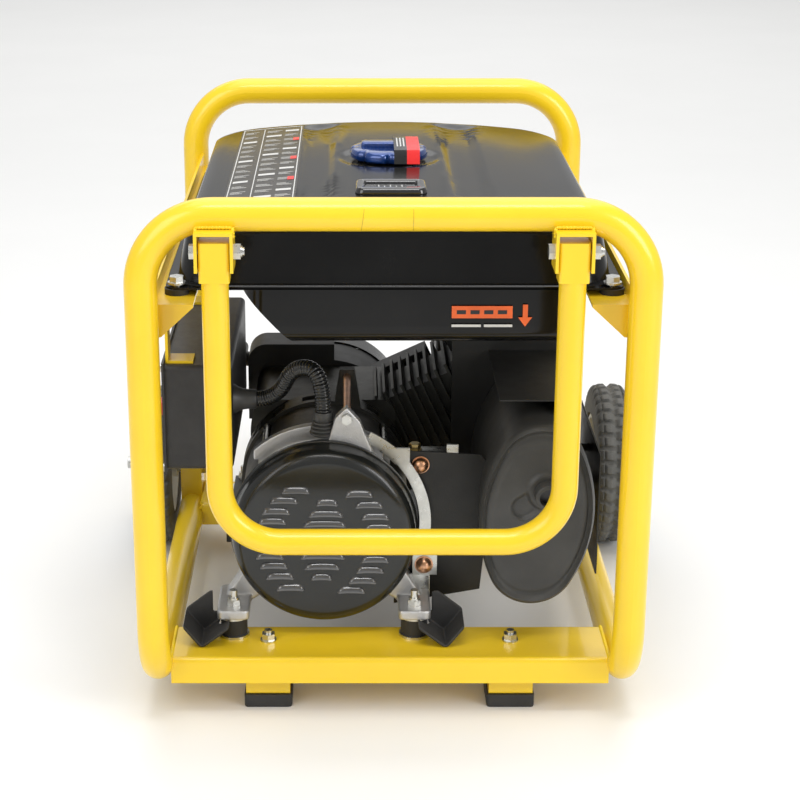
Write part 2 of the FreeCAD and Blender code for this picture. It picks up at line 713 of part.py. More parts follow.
def muffler_shell():
    y0, y1 = MUFFLER_Y
    body = muffler_slice(-3, y0, y1)
    body = body.cut(muffler_slice(-4.6, y0 - 1, y1 - 1.6))
    return body.cut(cyl_y(122, 244, 14, y1 - 5, y1 + 5))


def muffler_cap():
    """End cap with a rolled rim, a domed middle and the outlet stub."""
    y0 = MUFFLER_Y[0]
    rim = muffler_slice(0, y0 - 6, y0 + 2).cut(muffler_slice(-3, y0 - 8, y0 + 3))
    floor = muffler_slice(-3, y0 - 2.5, y0)
    crown = muffler_slice(-16, y0 - 8, y0 - 1).cut(muffler_slice(-17.6, y0 - 6.4, y0 + 1))
    floor = floor.cut(muffler_slice(-17.6, y0 - 7, y0 + 1))
    stub = cyl_y(161, 232, 14, y0 - 24, y0 - 6.4)
    cap = join(rim, floor, crown, stub)
    return cap.cut(cyl_y(161, 232, 9.5, y0 - 30, y0 + 5))


muffler_solid = muffler_slice(-3, *MUFFLER_Y)


def muffler_plate():
    """Black plate that carries the muffler beside the alternator."""
    pts = [(6, 130, 80), (98, 130, 97), (110, 130, 236), (96, 130, 251), (2, 130, 256)]
    piece = plate(pts, (0, 3, 0)).cut(muffler_solid).cut(axis_y(99.6, 120, 140))
    return max(piece.Solids, key=lambda s: s.Volume)


plate_bolts = []
for bx, bz in ((33.0, 240.0), (34.0, 116.0)):
    plate_bolts.append(join(cyl_y(bx, bz, 7.5, 127.5, 130), hexagon((bx, 123, bz), (bx, 127.5, bz), 10)))


def heat_shield():
    """Folded guard: outboard side, bevelled corner, a top leaf and a wing before the engine."""
    section = [(219, 100, 128), (219, 100, 262), (196, 100, 322), (112, 100, 322), (112, 100, 320.4),
               (194.8, 100, 320.4), (217.4, 100, 261.6), (217.4, 100, 128)]
    guard = plate(section, (0, 200, 0))
    wing = box(72, 205, 270.5, 272, 190, 345).cut(cyl_y(122, 244, 16, 265, 280))
    return join(guard, wing)


def shield_tab(z):
    return box(204, 217.4, 180, 200, z, z + 2).cut(muffler_slice(-3, 76, 268))


exhaust = join(cyl_y(122, 244, 13.8, 262, 281), box(100, 144, 274, 279, 226, 262)).cut(
    cyl_y(122, 244, 11.5, 250, 290)).cut(tilted_block(172, 212, -58, 58, 279, 391))


# ---------------------------------------------------------------- fuel tank
CROWN_Z = 522.0
CROWN_R = 1500.0
GROOVES = ((-93.0, -62.0), (67.0, 102.0))
GROOVE_DEPTH = 4.0
TANK_MID = (TANK_X[0] + TANK_X[1]) / 2


def rounded_ring(x0, x1, y0, y1, z, r):
    """Closed wire: rectangle with round corners in a level plane."""
    pts = [(x0, y0 + r, z), (x0, y0, z), (x1, y0, z), (x1, y1, z), (x0, y1, z), (x0, y0 + r, z)]
    wire = bent_wire(pts, r)
    edges = [e for e in wire.Edges if e.Length > 1e-6]
    return Part.Wire(edges)


def tank_form(inset):
    """Upper tank form; inset makes the smaller inner form of the sheet."""
    i = inset
    x0, x1, y0, y1 = TANK_X[0] + 9 + i, TANK_X[1] - 9 - i, TANK_Y[0] + 9 + i, TANK_Y[1] - 9 - i
    rings = []
    for z, shrink in ((TANK_SEAM + 2, 0), (503, 9), (513, 15), (519, 25), (530, 50)):
        rings.append(rounded_ring(x0 + shrink, x1 - shrink, y0 + shrink, y1 - shrink, z - i, 42 - i))
    skirt = Part.makeLoft(rings, True, True)
    crown = cyl_y(TANK_MID, CROWN_Z - i - CROWN_R, CROWN_R, 0, 700)
    form = skirt.common(crown)
    for g0, g1 in GROOVES:
        form = form.cut(box(g0 - i, g1 + i, y0 + 26, y1 - 26, CROWN_Z - 2 - GROOVE_DEPTH - i, 540))
    return form.cut(cyl_z(FILLER[0], FILLER[1], 58 + i, CROWN_Z - 3 - i, 540))


def tank_upper():
    flange = rounded_block(*TANK_X, *TANK_Y, TANK_SEAM, TANK_SEAM + 2, 14)
    shell = tank_form(0).fuse(flange).cut(tank_form(TANK_SHEET))
    shell = shell.cut(cyl_z(FILLER[0], FILLER[1], FILLER_R + 3, 500, 540))
    for x, y in TANK_BOLTS:
        shell = shell.cut(cyl_z(x, y, 4.2, 440, 460))
    return shell


BOWL_X = (-148.0, 192.0)
BOWL_SLOPE = ((-148.0, 446.0), (-98.0, 392.0))
BOWL_Y = (62.0, 584.0)
TANK_BOLTS = ((-211.0, 59.0), (216.0, 59.0), (-211.0, 587.0), (216.0, 587.0))


def bowl_slope(inset):
    """Wedge that slopes off the bowl's left wall, clear of the control box."""
    run = V(BOWL_SLOPE[1][0] - BOWL_SLOPE[0][0], 0, BOWL_SLOPE[1][1] - BOWL_SLOPE[0][1])
    run.normalize()
    shift = V(-run.z, 0, run.x) * inset
    top = V(BOWL_SLOPE[0][0], -10, BOWL_SLOPE[0][1]) + shift - run * 60
    low = V(BOWL_SLOPE[1][0], -10, BOWL_SLOPE[1][1]) + shift + run * 60
    return plate([tuple(top), tuple(low), (-300, -10, 300)], (0, 720, 0))


def bowl_form(inset):
    i = inset
    form = box(BOWL_X[0] + i, BOWL_X[1] - i, BOWL_Y[0] + i, BOWL_Y[1] - i, TANK_BOTTOM + i, TANK_SEAM)
    form = round_edges(form, 24.0 - i, lambda c, e: is_vertical(e))
    form = round_edges(form, 20.0 - i, lambda c, e: c.z < TANK_BOTTOM + 8)
    return form.cut(bowl_slope(i))


def tank_lower():
    flange = rounded_block(*TANK_X, *TANK_Y, TANK_SEAM - 2, TANK_SEAM, 14)
    shell = flange.fuse(bowl_form(0)).cut(bowl_form(TANK_SHEET))
    shell = shell.cut(cyl_z(TAP[0], TAP[1], 6.0, 380, 400))
    for x, y in TANK_BOLTS:
        shell = shell.cut(cyl_z(x, y, 4.2, 440, 460))
    return shell


TAP = (150.0, 425.0)
neck = cyl_z(*FILLER, FILLER_R + 3, 506, CROWN_Z + 1).cut(cyl_z(*FILLER, FILLER_R, 500, 530))


def fuel_cap():
    x, y = FILLER
    disc = cyl_z(x, y, 44, CROWN_Z - 1.5, CROWN_Z + 12)
    disc = round_edges(disc, 5.0, lambda c, e: c.z > CROWN_Z + 11.9 and e.Closed)
    for i in range(8):
        a = math.radians(45 * i + 22.5)
        disc = disc.cut(cyl_z(x + 50 * math.cos(a), y + 50 * math.sin(a), 9, 515, 545))
    disc = disc.cut(cyl_z(x, y, FILLER_R + 6, 515, CROWN_Z + 3.2))
    knob = round_edges(box(x - 30, x + 30, y - 8, y + 8, CROWN_Z + 12, CROWN_Z + 17), 2.0,
                       lambda c, e: c.z > CROWN_Z + 16.9)
    return join(disc, knob)


def cap_tag():
    """Strap over the cap: carries the warning stripe."""
    x, y = FILLER
    strap = box(x + 6, x + 34, y - 52, y + 30, CROWN_Z + 17, CROWN_Z + 18)
    return strap.fuse(box(x + 6, x + 34, y - 53, y - 52, CROWN_Z + 1, CROWN_Z + 18)).removeSplitter()


cap_seal = cyl_z(*FILLER, FILLER_R + 3, CROWN_Z + 1, CROWN_Z + 3).cut(
    cyl_z(*FILLER, FILLER_R - 6, 515, 530))

gauge = rounded_block(-36, 38, 165, 215, CROWN_Z - 3, CROWN_Z + 6, 10)
gauge = round_edges(gauge, 2.5, lambda c, e: c.z > CROWN_Z + 5.9)
gauge_bezel = gauge.cut(rounded_block(-26, 28, 175, 205, CROWN_Z + 4, CROWN_Z + 7, 6)).cut(tank_form(0))
gauge_window = rounded_block(-26, 28, 175, 205, CROWN_Z + 4, CROWN_Z + 5, 6)

tank_bolts, tank_washers = [], []
for bx, by in TANK_BOLTS:
    washer = cyl_z(bx, by, 12, 447, TANK_SEAM - 2).cut(cyl_z(bx, by, 4.2, 440, 460))
    tank_washers.append(washer)
    tank_bolts.append(join(hexagon((bx, by, 458.8), (bx, by, 464.4), 13),
                           cyl_z(bx, by, 9, TANK_SEAM + 2, 458.8), cyl_z(bx, by, 4, 436, 460),
                           hexagon((bx, by, 437.5), (bx, by, 444), 13)))

tap_body = join(cyl_z(*TAP, 9, 380, TANK_BOTTOM), cyl_z(*TAP, 5.9, 391, 397),
                box(TAP[0] - 11, TAP[0] + 11, TAP[1] - 9, TAP[1] + 9, 364, 380),
                cyl_z(*TAP, 3.5, 352, 364))
tap_lever = join(cyl_x(TAP[1], 372, 7, TAP[0] + 11.4, TAP[0] + 16),
                 box(TAP[0] + 12, TAP[0] + 15, TAP[1] - 4, TAP[1] + 4, 346, 372))


# ---------------------------------------------------------------- intake side
CARB = (108.0, 270.0)
head_block = tilted_block(172, 212, -58, 58, 279, 391)


def carburettor():
    x, z = CARB
    throat = cyl_y(x, z, 17, 391, 436)
    body = box(x - 20, x + 20, 400, 426, z - 22, z + 18)
    bowl = cyl_z(x, 413, 18, z - 46, z - 22)
    piece = join(throat, body, bowl).cut(cyl_y(x, z, 12, 380, 440))
    return piece.cut(cyl_z(x - 14, 413, 2.5, z + 10, z + 19))


choke_lever = join(cyl_x(420, CARB[1] + 8, 5, CARB[0] + 20.4, CARB[0] + 24),
                   box(CARB[0] + 21, CARB[0] + 23, 417, 423, CARB[1] + 8, CARB[1] + 28))

filter_housing = rounded_block(62, 204, 438, 505, 226, 348, 16).cut(
    rounded_block(65, 201, 441, 506, 229, 345, 13)).cut(cyl_y(*CARB, 14, 430, 445))
filter_cover = rounded_block(60, 206, 505, 548, 224, 350, 17).cut(
    rounded_block(63, 203, 504, 545, 227, 347, 14))
# ---------------------------------------------------------------- rubber mounts
MOUNTS = ((CRANK_X - 95, 84.0, 90.0), (CRANK_X + 95, 84.0, 90.0),
          (CRANK_X - 105, 470.0, 82.0), (CRANK_X + 105, 470.0, 82.0))


def rubber_mount(x, y, top):
    return cyl_z(x, y, 14, CROSS_TOP + 2.5, top - 2.5)


def mount_discs(x, y, top):
    return [cyl_z(x, y, 16, CROSS_TOP, CROSS_TOP + 2.5), cyl_z(x, y, 16, top - 2.5, top)]


def mount_stud(x, y, top, thick):
    z = top + thick
    return join(cyl_z(x, y, 4, top, z + 17), hexagon((x, y, z), (x, y, z + 6.5), 13),
                cyl_z(x, y, 6, z + 6.5, z + 9))


def mount_hood(side):
    """Rubber flap folded round the outside of a front mount."""
    block = box(-20, 20, 50, 92, -17, 17)
    hollow = box(-17, 30, 40, 89, -14, 30)
    hood = round_edges(block, 6.0, lambda c, e: abs(e.tangentAt(e.FirstParameter).y) > 0.99)
    hood = hood.cut(hollow)
    hood.rotate(V(0, 0, 0), V(0, 1, 0), -38)
    hood.translate(V(-191, 0, 0))
    hood.translate(V(0, 0, CROSS_TOP - hood.BoundBox.ZMin + 0.5))
    if side > 0:
        hood.translate(V(-CRANK_X, 0, 0))
        hood = mirror_x(hood)
        hood.translate(V(CRANK_X, 0, 0))
    keep = hood.cut(box(-186, 45, 65, 140, 89.5, 120)).cut(
        cyl_z(CRANK_X + side * 95, 84, 16.4, 60, 100))
    keep = keep.cut(front_solid)
    return max(keep.Solids, key=lambda s: s.Volume)


plates_all = []
for m in MOUNTS:
    plates_all += mount_discs(*m)


# ---------------------------------------------------------------- alternator stay and conduit
def alternator_stay():
    """Curved flat strap beside the end cover with a drilled lug at each end."""
    strap = ring_y(113, 101, 122, 125)
    wedge = plate([(CRANK_X, 100, CRANK_Z), (CRANK_X + 200, 100, CRANK_Z - 50),
                   (CRANK_X + 200, 100, CRANK_Z + 200), (CRANK_X + 96, 100, CRANK_Z + 200)],
                  (0, 60, 0))
    strap = strap.common(wedge)
    tab = box(CRANK_X + 94, CRANK_X + 120, 122, 125, CRANK_Z - 60, CRANK_Z - 34)
    tab = tab.cut(cyl_y(CRANK_X + 106, CRANK_Z - 48, 4, 100, 140))
    link = box(CRANK_X + 96, CRANK_X + 108, 122, 125, CRANK_Z - 38, CRANK_Z - 18)
    top = box(CRANK_X + 58, CRANK_X + 90, 122, 125, CRANK_Z + 66, CRANK_Z + 84)
    piece = join(strap, tab, link, top)
    return piece.cut(axis_y(99.6, 90, 130))


stay_bolt = join(cyl_y(CRANK_X + 106, CRANK_Z - 48, 4, 121, 129),
                 hexagon((CRANK_X + 106, 116.5, CRANK_Z - 48), (CRANK_X + 106, 122, CRANK_Z - 48), 13),
                 hexagon((CRANK_X + 106, 125, CRANK_Z - 48), (CRANK_X + 106, 130, CRANK_Z - 48), 13))

CONDUIT_R = 8.5
conduit_run = [(-140, 168, 300), (-118, 160, 303), (-100, 146, 345), (-69, 124, 345), (-69, 122, 300)]
conduit = bent_bar(conduit_run, 13.0, CONDUIT_R)
panel_boot = Part.makeCone(13, 10.5, 22, V(-165, 176, 297.5), V(25, -8, 2.5)).cut(conduit)
panel_boot = panel_boot.cut(box(-200, -165, 100, 300, 200, 350))


def alternator_boot():
    """Bellows where the conduit enters the end bracket."""
    stack = []
    for i in range(4):
        z = 277.2 + i * 6.0
        stack.append(Part.makeCone(14 - i * 0.5, 10.8, 3, V(-69, 122, z), V(0, 0, 1)))
        stack.append(Part.makeCone(10.8, 13.5 - i * 0.5, 3, V(-69, 122, z + 3), V(0, 0, 1)))
    boot = join(*stack)
    return boot.cut(conduit).cut(axis_y(92, 90, 150))


# ---------------------------------------------------------------- control panel
PLATE_X = (PANEL_X[0] - 2.5, PANEL_X[0])
SOCKETS = ((250.0, 262.0), (250.0, 312.0))


def panel_box():
    outer = round_edges(box(*PANEL_X, *PANEL_Y, *PANEL_Z), 6.0,
                        lambda c, e: c.x > PANEL_X[1] - 1 or abs(c.x - sum(PANEL_X) / 2) < 1)
    inner = box(PANEL_X[0] - 1, PANEL_X[1] - 2, PANEL_Y[0] + 2, PANEL_Y[1] - 2,
                PANEL_Z[0] + 2, PANEL_Z[1] - 2)
    return outer.cut(inner)


def panel_plate():
    sheet = box(*PLATE_X, PANEL_Y[0] - 4, PANEL_Y[1] + 4, PANEL_Z[0] - 4, PANEL_Z[1] + 4)
    for y, z in SOCKETS:
        sheet = sheet.cut(cyl_x(y, z, 18, -260, -200))
    sheet = sheet.cut(cyl_x(197, 282, 11, -260, -200))
    sheet = sheet.cut(cyl_x(350, 312, 6, -260, -200))
    sheet = sheet.cut(cyl_x(350, 262, 4, -260, -200))
    return sheet


def socket(y, z):
    body = join(cyl_x(y, z, 17.9, -238, -206), cyl_x(y, z, 23, -242.5, PLATE_X[0]))
    body = body.cut(cyl_x(y, z, 14, -245, -222))
    core = cyl_x(y, z, 12, -240.5, -221)
    for angle in (90, 210, 330):
        a = math.radians(angle)
        core = core.cut(cyl_x(y + 7 * math.cos(a), z + 7 * math.sin(a), 2.2, -245, -226))
    return body.fuse(core).removeSplitter()


def hanger(y0):
    """Angle strap from the rail down to the panel box."""
    strap = box(-235, -232, y0, y0 + 26, PANEL_Z[1], 452)
    leaf = box(-235, -206, y0, y0 + 26, PANEL_Z[1], PANEL_Z[1] + 3)
    return join(strap, leaf)


SWITCH = (197.0, 282.0)
switch_frame = join(cyl_x(*SWITCH, 14, -241, PLATE_X[0]), cyl_x(*SWITCH, 10.9, PLATE_X[0], -214)).cut(
    cyl_x(*SWITCH, 6.06, -245, -217))
switch_knob = join(cyl_x(*SWITCH, 6, -242, -218), cyl_x(*SWITCH, 10, -245, -241.5),
                   box(-252, -245, SWITCH[0] - 2.5, SWITCH[0] + 2.5, SWITCH[1] - 9, SWITCH[1] + 9))
breaker = join(cyl_x(350, 312, 5.9, PLATE_X[0], -214), cyl_x(350, 312, 9, -242, PLATE_X[0])).cut(
    cyl_x(350, 312, 4.06, -245, -224))
breaker_button = join(cyl_x(350, 312, 4.0, -249, -229))
earth = join(cyl_x(350, 262, 3.9, -252, -226), hexagon((-242.5, 350, 262), (-238.5, 350, 262), 11),
             cyl_x(350, 262, 8, -249.5, -244.5))


def dipstick():
    """Screw cap and rod in the oil filler boss."""
    direction = V(26, 0, 12).normalize()
    seat = V(CRANK_X + 96, 372, 130)
    cap = Part.makeCylinder(15, 8, seat, direction)
    knob = Part.makeCylinder(11, 16, seat, direction)
    stick = Part.makeCylinder(2.5, 40, seat - direction * 40, direction)
    return join(cap, knob, stick)


# ---------------------------------------------------------------- nodes written to disk
fuel_hose = bent_bar([(94, 413, 278), (94, 413, 330), (TAP[0], TAP[1], 330), (TAP[0], TAP[1], 353)],
                     16.0, 4.0)
mount_parts = []
for m in MOUNTS:
    mount_parts += mount_discs(*m)
    mount_parts.append(mount_stud(*m, 10.0))
cross_welded = [join(cross_members[0], *foot_brackets[:2]), join(cross_members[1], *foot_brackets[2:])]
rail_left = side_rails[0].fuse(hanger(160.0)).fuse(hanger(384.0))
axle_set = [axle(), axle_washer, split_pin]

# ---------------------------------------------------------------- fits between neighbours
def trimmed(piece, *neighbours):
    """The piece with its neighbours' shapes cut out of it."""
    for other in neighbours:
        piece = piece.cut(other)
    return max(piece.Solids, key=lambda s: s.Volume)


def drilled(rail):
    """Side rail with its tank bolt holes."""
    for x, y in TANK_BOLTS:
        rail = rail.cut(cyl_z(x, y, 4.1, 430, 450))
    return rail


bracket = end_bracket()
through_bolts = [through_bolt(a) for a in (45, 135, 225, 315)]
cylinder = finned(76, 172, 44, 56, 44, 54, 10.4, 3.0)
carburettor_body = carburettor()

NODES = {
    "front_hoop": [join(front_hoop, clip(-1), clip(1))],
    "rear_hoop": [rear_hoop],
    "base_rails": [join(base_rails[0], mirror_x(axle_bracket())), join(base_rails[1], axle_bracket())],
    "cross_members": cross_welded,
    "side_rails": [drilled(rail_left), drilled(side_rails[1])],
    "rubber_feet": feet,
    "frame_bolts": foot_bolts + tank_bolts + [pivot_bolt(-1), pivot_bolt(1)],
    "tow_handle": [join(handle_tube, end_block(-1), end_block(1))],
    "wheel_axles": axle_set + [mirror_x(s) for s in axle_set],
    "right_tyre": [tyre()],
    "right_rim": [rim()],
    "left_tyre": [mirror_x(tyre())],
    "left_rim": [mirror_x(rim())],
    "alternator_end_cover": [end_cover()],
    "alternator_end_bracket": [bracket],
    "alternator_stator": [stator()],
    "alternator_adaptor": [adaptor()],
    "alternator_rotor": [rotor_core, alternator_fan()],
    "alternator_stay": [trimmed(alternator_stay(), stay_bolt, *through_bolts, *plate_bolts)],
    "crankshaft": [crankshaft],
    "crankcase": [trimmed(crankcase(), cylinder)],
    "cylinder_block": [cylinder],
    "cylinder_head": [finned(172, 212, 46, 58, 46, 56, 9.2, 3.2)],
    "rocker_cover": [rocker_cover()],
    "spark_plug_cap": [plug_cap],
    "engine_base": [engine_base()],
    "engine_bolts": base_bolts + through_bolts + [top_bolt()] + plate_bolts
    + [stay_bolt] + mount_parts,
    "rubber_mounts": [rubber_mount(*m) for m in MOUNTS] + tank_washers,
    "mount_hoods": [mount_hood(-1), mount_hood(1)],
    "fan_shroud": [fan_shroud()],
    "flywheel_fan": [flywheel()],
    "recoil_housing": [recoil_housing()],
    "recoil_reel": [recoil_reel()],
    "recoil_grip": [recoil_grip()],
    "recoil_rope": [rod(rope_point(-70), rope_point(109), ROPE_R)],
    "muffler_body": [muffler_shell()],
    "muffler_end_cap": [muffler_cap()],
    "muffler_plate": [trimmed(muffler_plate(), bracket)],
    "heat_shield": [join(heat_shield(), shield_tab(200), shield_tab(236))],
    "exhaust_pipe": [exhaust],
    "fuel_tank_upper": [join(tank_upper(), neck)],
    "fuel_tank_lower": [tank_lower()],
    "cap_seal": [cap_seal],
    "fuel_cap": [fuel_cap(), cap_tag()],
    "fuel_gauge": [gauge_bezel, gauge_window],
    "fuel_tap": [tap_body],
    "fuel_tap_lever": [tap_lever],
    "fuel_hose": [trimmed(fuel_hose, carburettor_body, tap_body)],
    "carburettor": [carburettor_body],
    "choke_lever": [choke_lever],
    "air_filter_housing": [filter_housing],
    "air_filter_cover": [filter_cover],
    "wiring_conduit": [conduit],
    "conduit_boots": [panel_boot, trimmed(alternator_boot(), bracket)],
    "panel_box": [panel_box()],
    "panel_plate": [panel_plate()],
    "panel_fittings": [socket(y, z) for y, z in SOCKETS] + [switch_frame, breaker, earth],
    "engine_switch": [switch_knob],
    "breaker_button": [breaker_button],
    "dipstick": [dipstick()],
}
for node, shapes in NODES.items():
    save(node, *shapes)
print(len(NODES), "nodes")
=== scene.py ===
"""Looks of the portable generator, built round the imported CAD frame.  Lengths here are written in
millimetres and turned into metres by pt(); y is measured back from the plane of the front hoop."""
import bpy
import bmesh
import math
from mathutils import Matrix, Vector


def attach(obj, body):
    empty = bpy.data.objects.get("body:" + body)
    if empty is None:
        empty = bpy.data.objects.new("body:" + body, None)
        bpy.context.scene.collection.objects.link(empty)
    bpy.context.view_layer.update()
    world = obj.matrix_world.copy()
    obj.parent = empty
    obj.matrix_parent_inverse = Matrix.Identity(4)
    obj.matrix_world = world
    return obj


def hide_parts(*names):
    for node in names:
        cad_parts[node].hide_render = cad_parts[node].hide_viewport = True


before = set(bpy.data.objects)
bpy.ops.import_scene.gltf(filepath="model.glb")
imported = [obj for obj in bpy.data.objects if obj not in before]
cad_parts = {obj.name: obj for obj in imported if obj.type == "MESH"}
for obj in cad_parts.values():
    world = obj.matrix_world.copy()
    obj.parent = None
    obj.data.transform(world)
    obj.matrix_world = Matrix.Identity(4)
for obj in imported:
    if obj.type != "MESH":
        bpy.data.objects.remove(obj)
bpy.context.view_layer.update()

FRONT = -334.5                       # where the front hoop's plane lies along the frame's y, mm
CRANK = (-68.6, 177.0)               # x, z of the crankshaft axis, mm


# ------------------------------------------------------------------ small helpers
def pt(x, y, z):
    """Millimetres behind the front hoop to metres in the frame."""
    return Vector((x / 1000, (y + FRONT) / 1000, z / 1000))


def lerp(a, b, t):
    return a + (b - a) * t


def smooth_step(t):
    t = min(1.0, max(0.0, t))
    return t * t * (3 - 2 * t)


# ------------------------------------------------------------------ materials
def node(tree, kind, **inputs):
    n = tree.nodes.new(kind)
    for key, value in inputs.items():
        n.inputs[key.replace("_", " ")].default_value = value
    return n


def finish_mat(name, color, rough=0.45, metal=0.0, spread=0.08, scale=18.0, rough_spread=0.08,
               bump=0.0, bump_scale=400.0, coat=0.0, dust=0.0, dust_color=(0.36, 0.33, 0.28),
               shine=0.5):
    """Principled finish whose colour, roughness and surface all vary with position."""
    mat = bpy.data.materials.new(name)
    mat.use_nodes = True
    tree = mat.node_tree
    shader = tree.nodes["Principled BSDF"]
    shader.inputs["Metallic"].default_value = metal
    shader.inputs["Coat Weight"].default_value = coat
    shader.inputs["Specular IOR Level"].default_value = shine
    shader.inputs["Coat Roughness"].default_value = 0.08
    coords = tree.nodes.new("ShaderNodeTexCoord")
    broad = node(tree, "ShaderNodeTexNoise", Scale=scale, Detail=5.0, Roughness=0.6)
    tree.links.new(coords.outputs["Object"], broad.inputs["Vector"])
    ramp = tree.nodes.new("ShaderNodeValToRGB")
    low = [c * (1 - spread) for c in color]
    high = [min(1.0, c * (1 + spread) + 0.004) for c in color]
    ramp.color_ramp.elements[0].position = 0.3
    ramp.color_ramp.elements[0].color = (*low, 1)
    ramp.color_ramp.elements[1].position = 0.7
    ramp.color_ramp.elements[1].color = (*high, 1)
    tree.links.new(broad.outputs["Fac"], ramp.inputs["Fac"])
    out = ramp.outputs["Color"]
    if dust > 0:
        geo = tree.nodes.new("ShaderNodeNewGeometry")
        split = tree.nodes.new("ShaderNodeSeparateXYZ")
        tree.links.new(geo.outputs["Normal"], split.inputs["Vector"])
        speck = node(tree, "ShaderNodeTexNoise", Scale=scale * 6, Detail=6.0, Roughness=0.7)
        tree.links.new(coords.outputs["Object"], speck.inputs["Vector"])
        up = tree.nodes.new("ShaderNodeMapRange")
        up.inputs["From Min"].default_value = 0.2
        up.inputs["From Max"].default_value = 1.0
        up.inputs["To Max"].default_value = dust
        tree.links.new(split.outputs["Z"], up.inputs["Value"])
        times = tree.nodes.new("ShaderNodeMath")
        times.operation = "MULTIPLY"
        tree.links.new(up.outputs["Result"], times.inputs[0])
        tree.links.new(speck.outputs["Fac"], times.inputs[1])
        mix = tree.nodes.new("ShaderNodeMix")
        mix.data_type = "RGBA"
        mix.inputs[7].default_value = (*dust_color, 1)
        tree.links.new(times.outputs["Value"], mix.inputs[0])
        tree.links.new(out, mix.inputs[6])
        out = mix.outputs[2]
    tree.links.new(out, shader.inputs["Base Color"])
    fine = node(tree, "ShaderNodeTexNoise", Scale=scale * 3.1, Detail=4.0)
    tree.links.new(coords.outputs["Object"], fine.inputs["Vector"])
    gloss = tree.nodes.new("ShaderNodeMapRange")
    gloss.inputs["To Min"].default_value = max(0.02, rough - rough_spread)
    gloss.inputs["To Max"].default_value = min(1.0, rough + rough_spread)
    tree.links.new(fine.outputs["Fac"], gloss.inputs["Value"])
    tree.links.new(gloss.outputs["Result"], shader.inputs["Roughness"])
    if bump > 0:
        grain = node(tree, "ShaderNodeTexNoise", Scale=bump_scale, Detail=3.0)
        tree.links.new(coords.outputs["Object"], grain.inputs["Vector"])
        relief = tree.nodes.new("ShaderNodeBump")
        relief.inputs["Strength"].default_value = bump
        relief.inputs["Distance"].default_value = 0.001
        tree.links.new(grain.outputs["Fac"], relief.inputs["Height"])
        tree.links.new(relief.outputs["Normal"], shader.inputs["Normal"])
    return mat


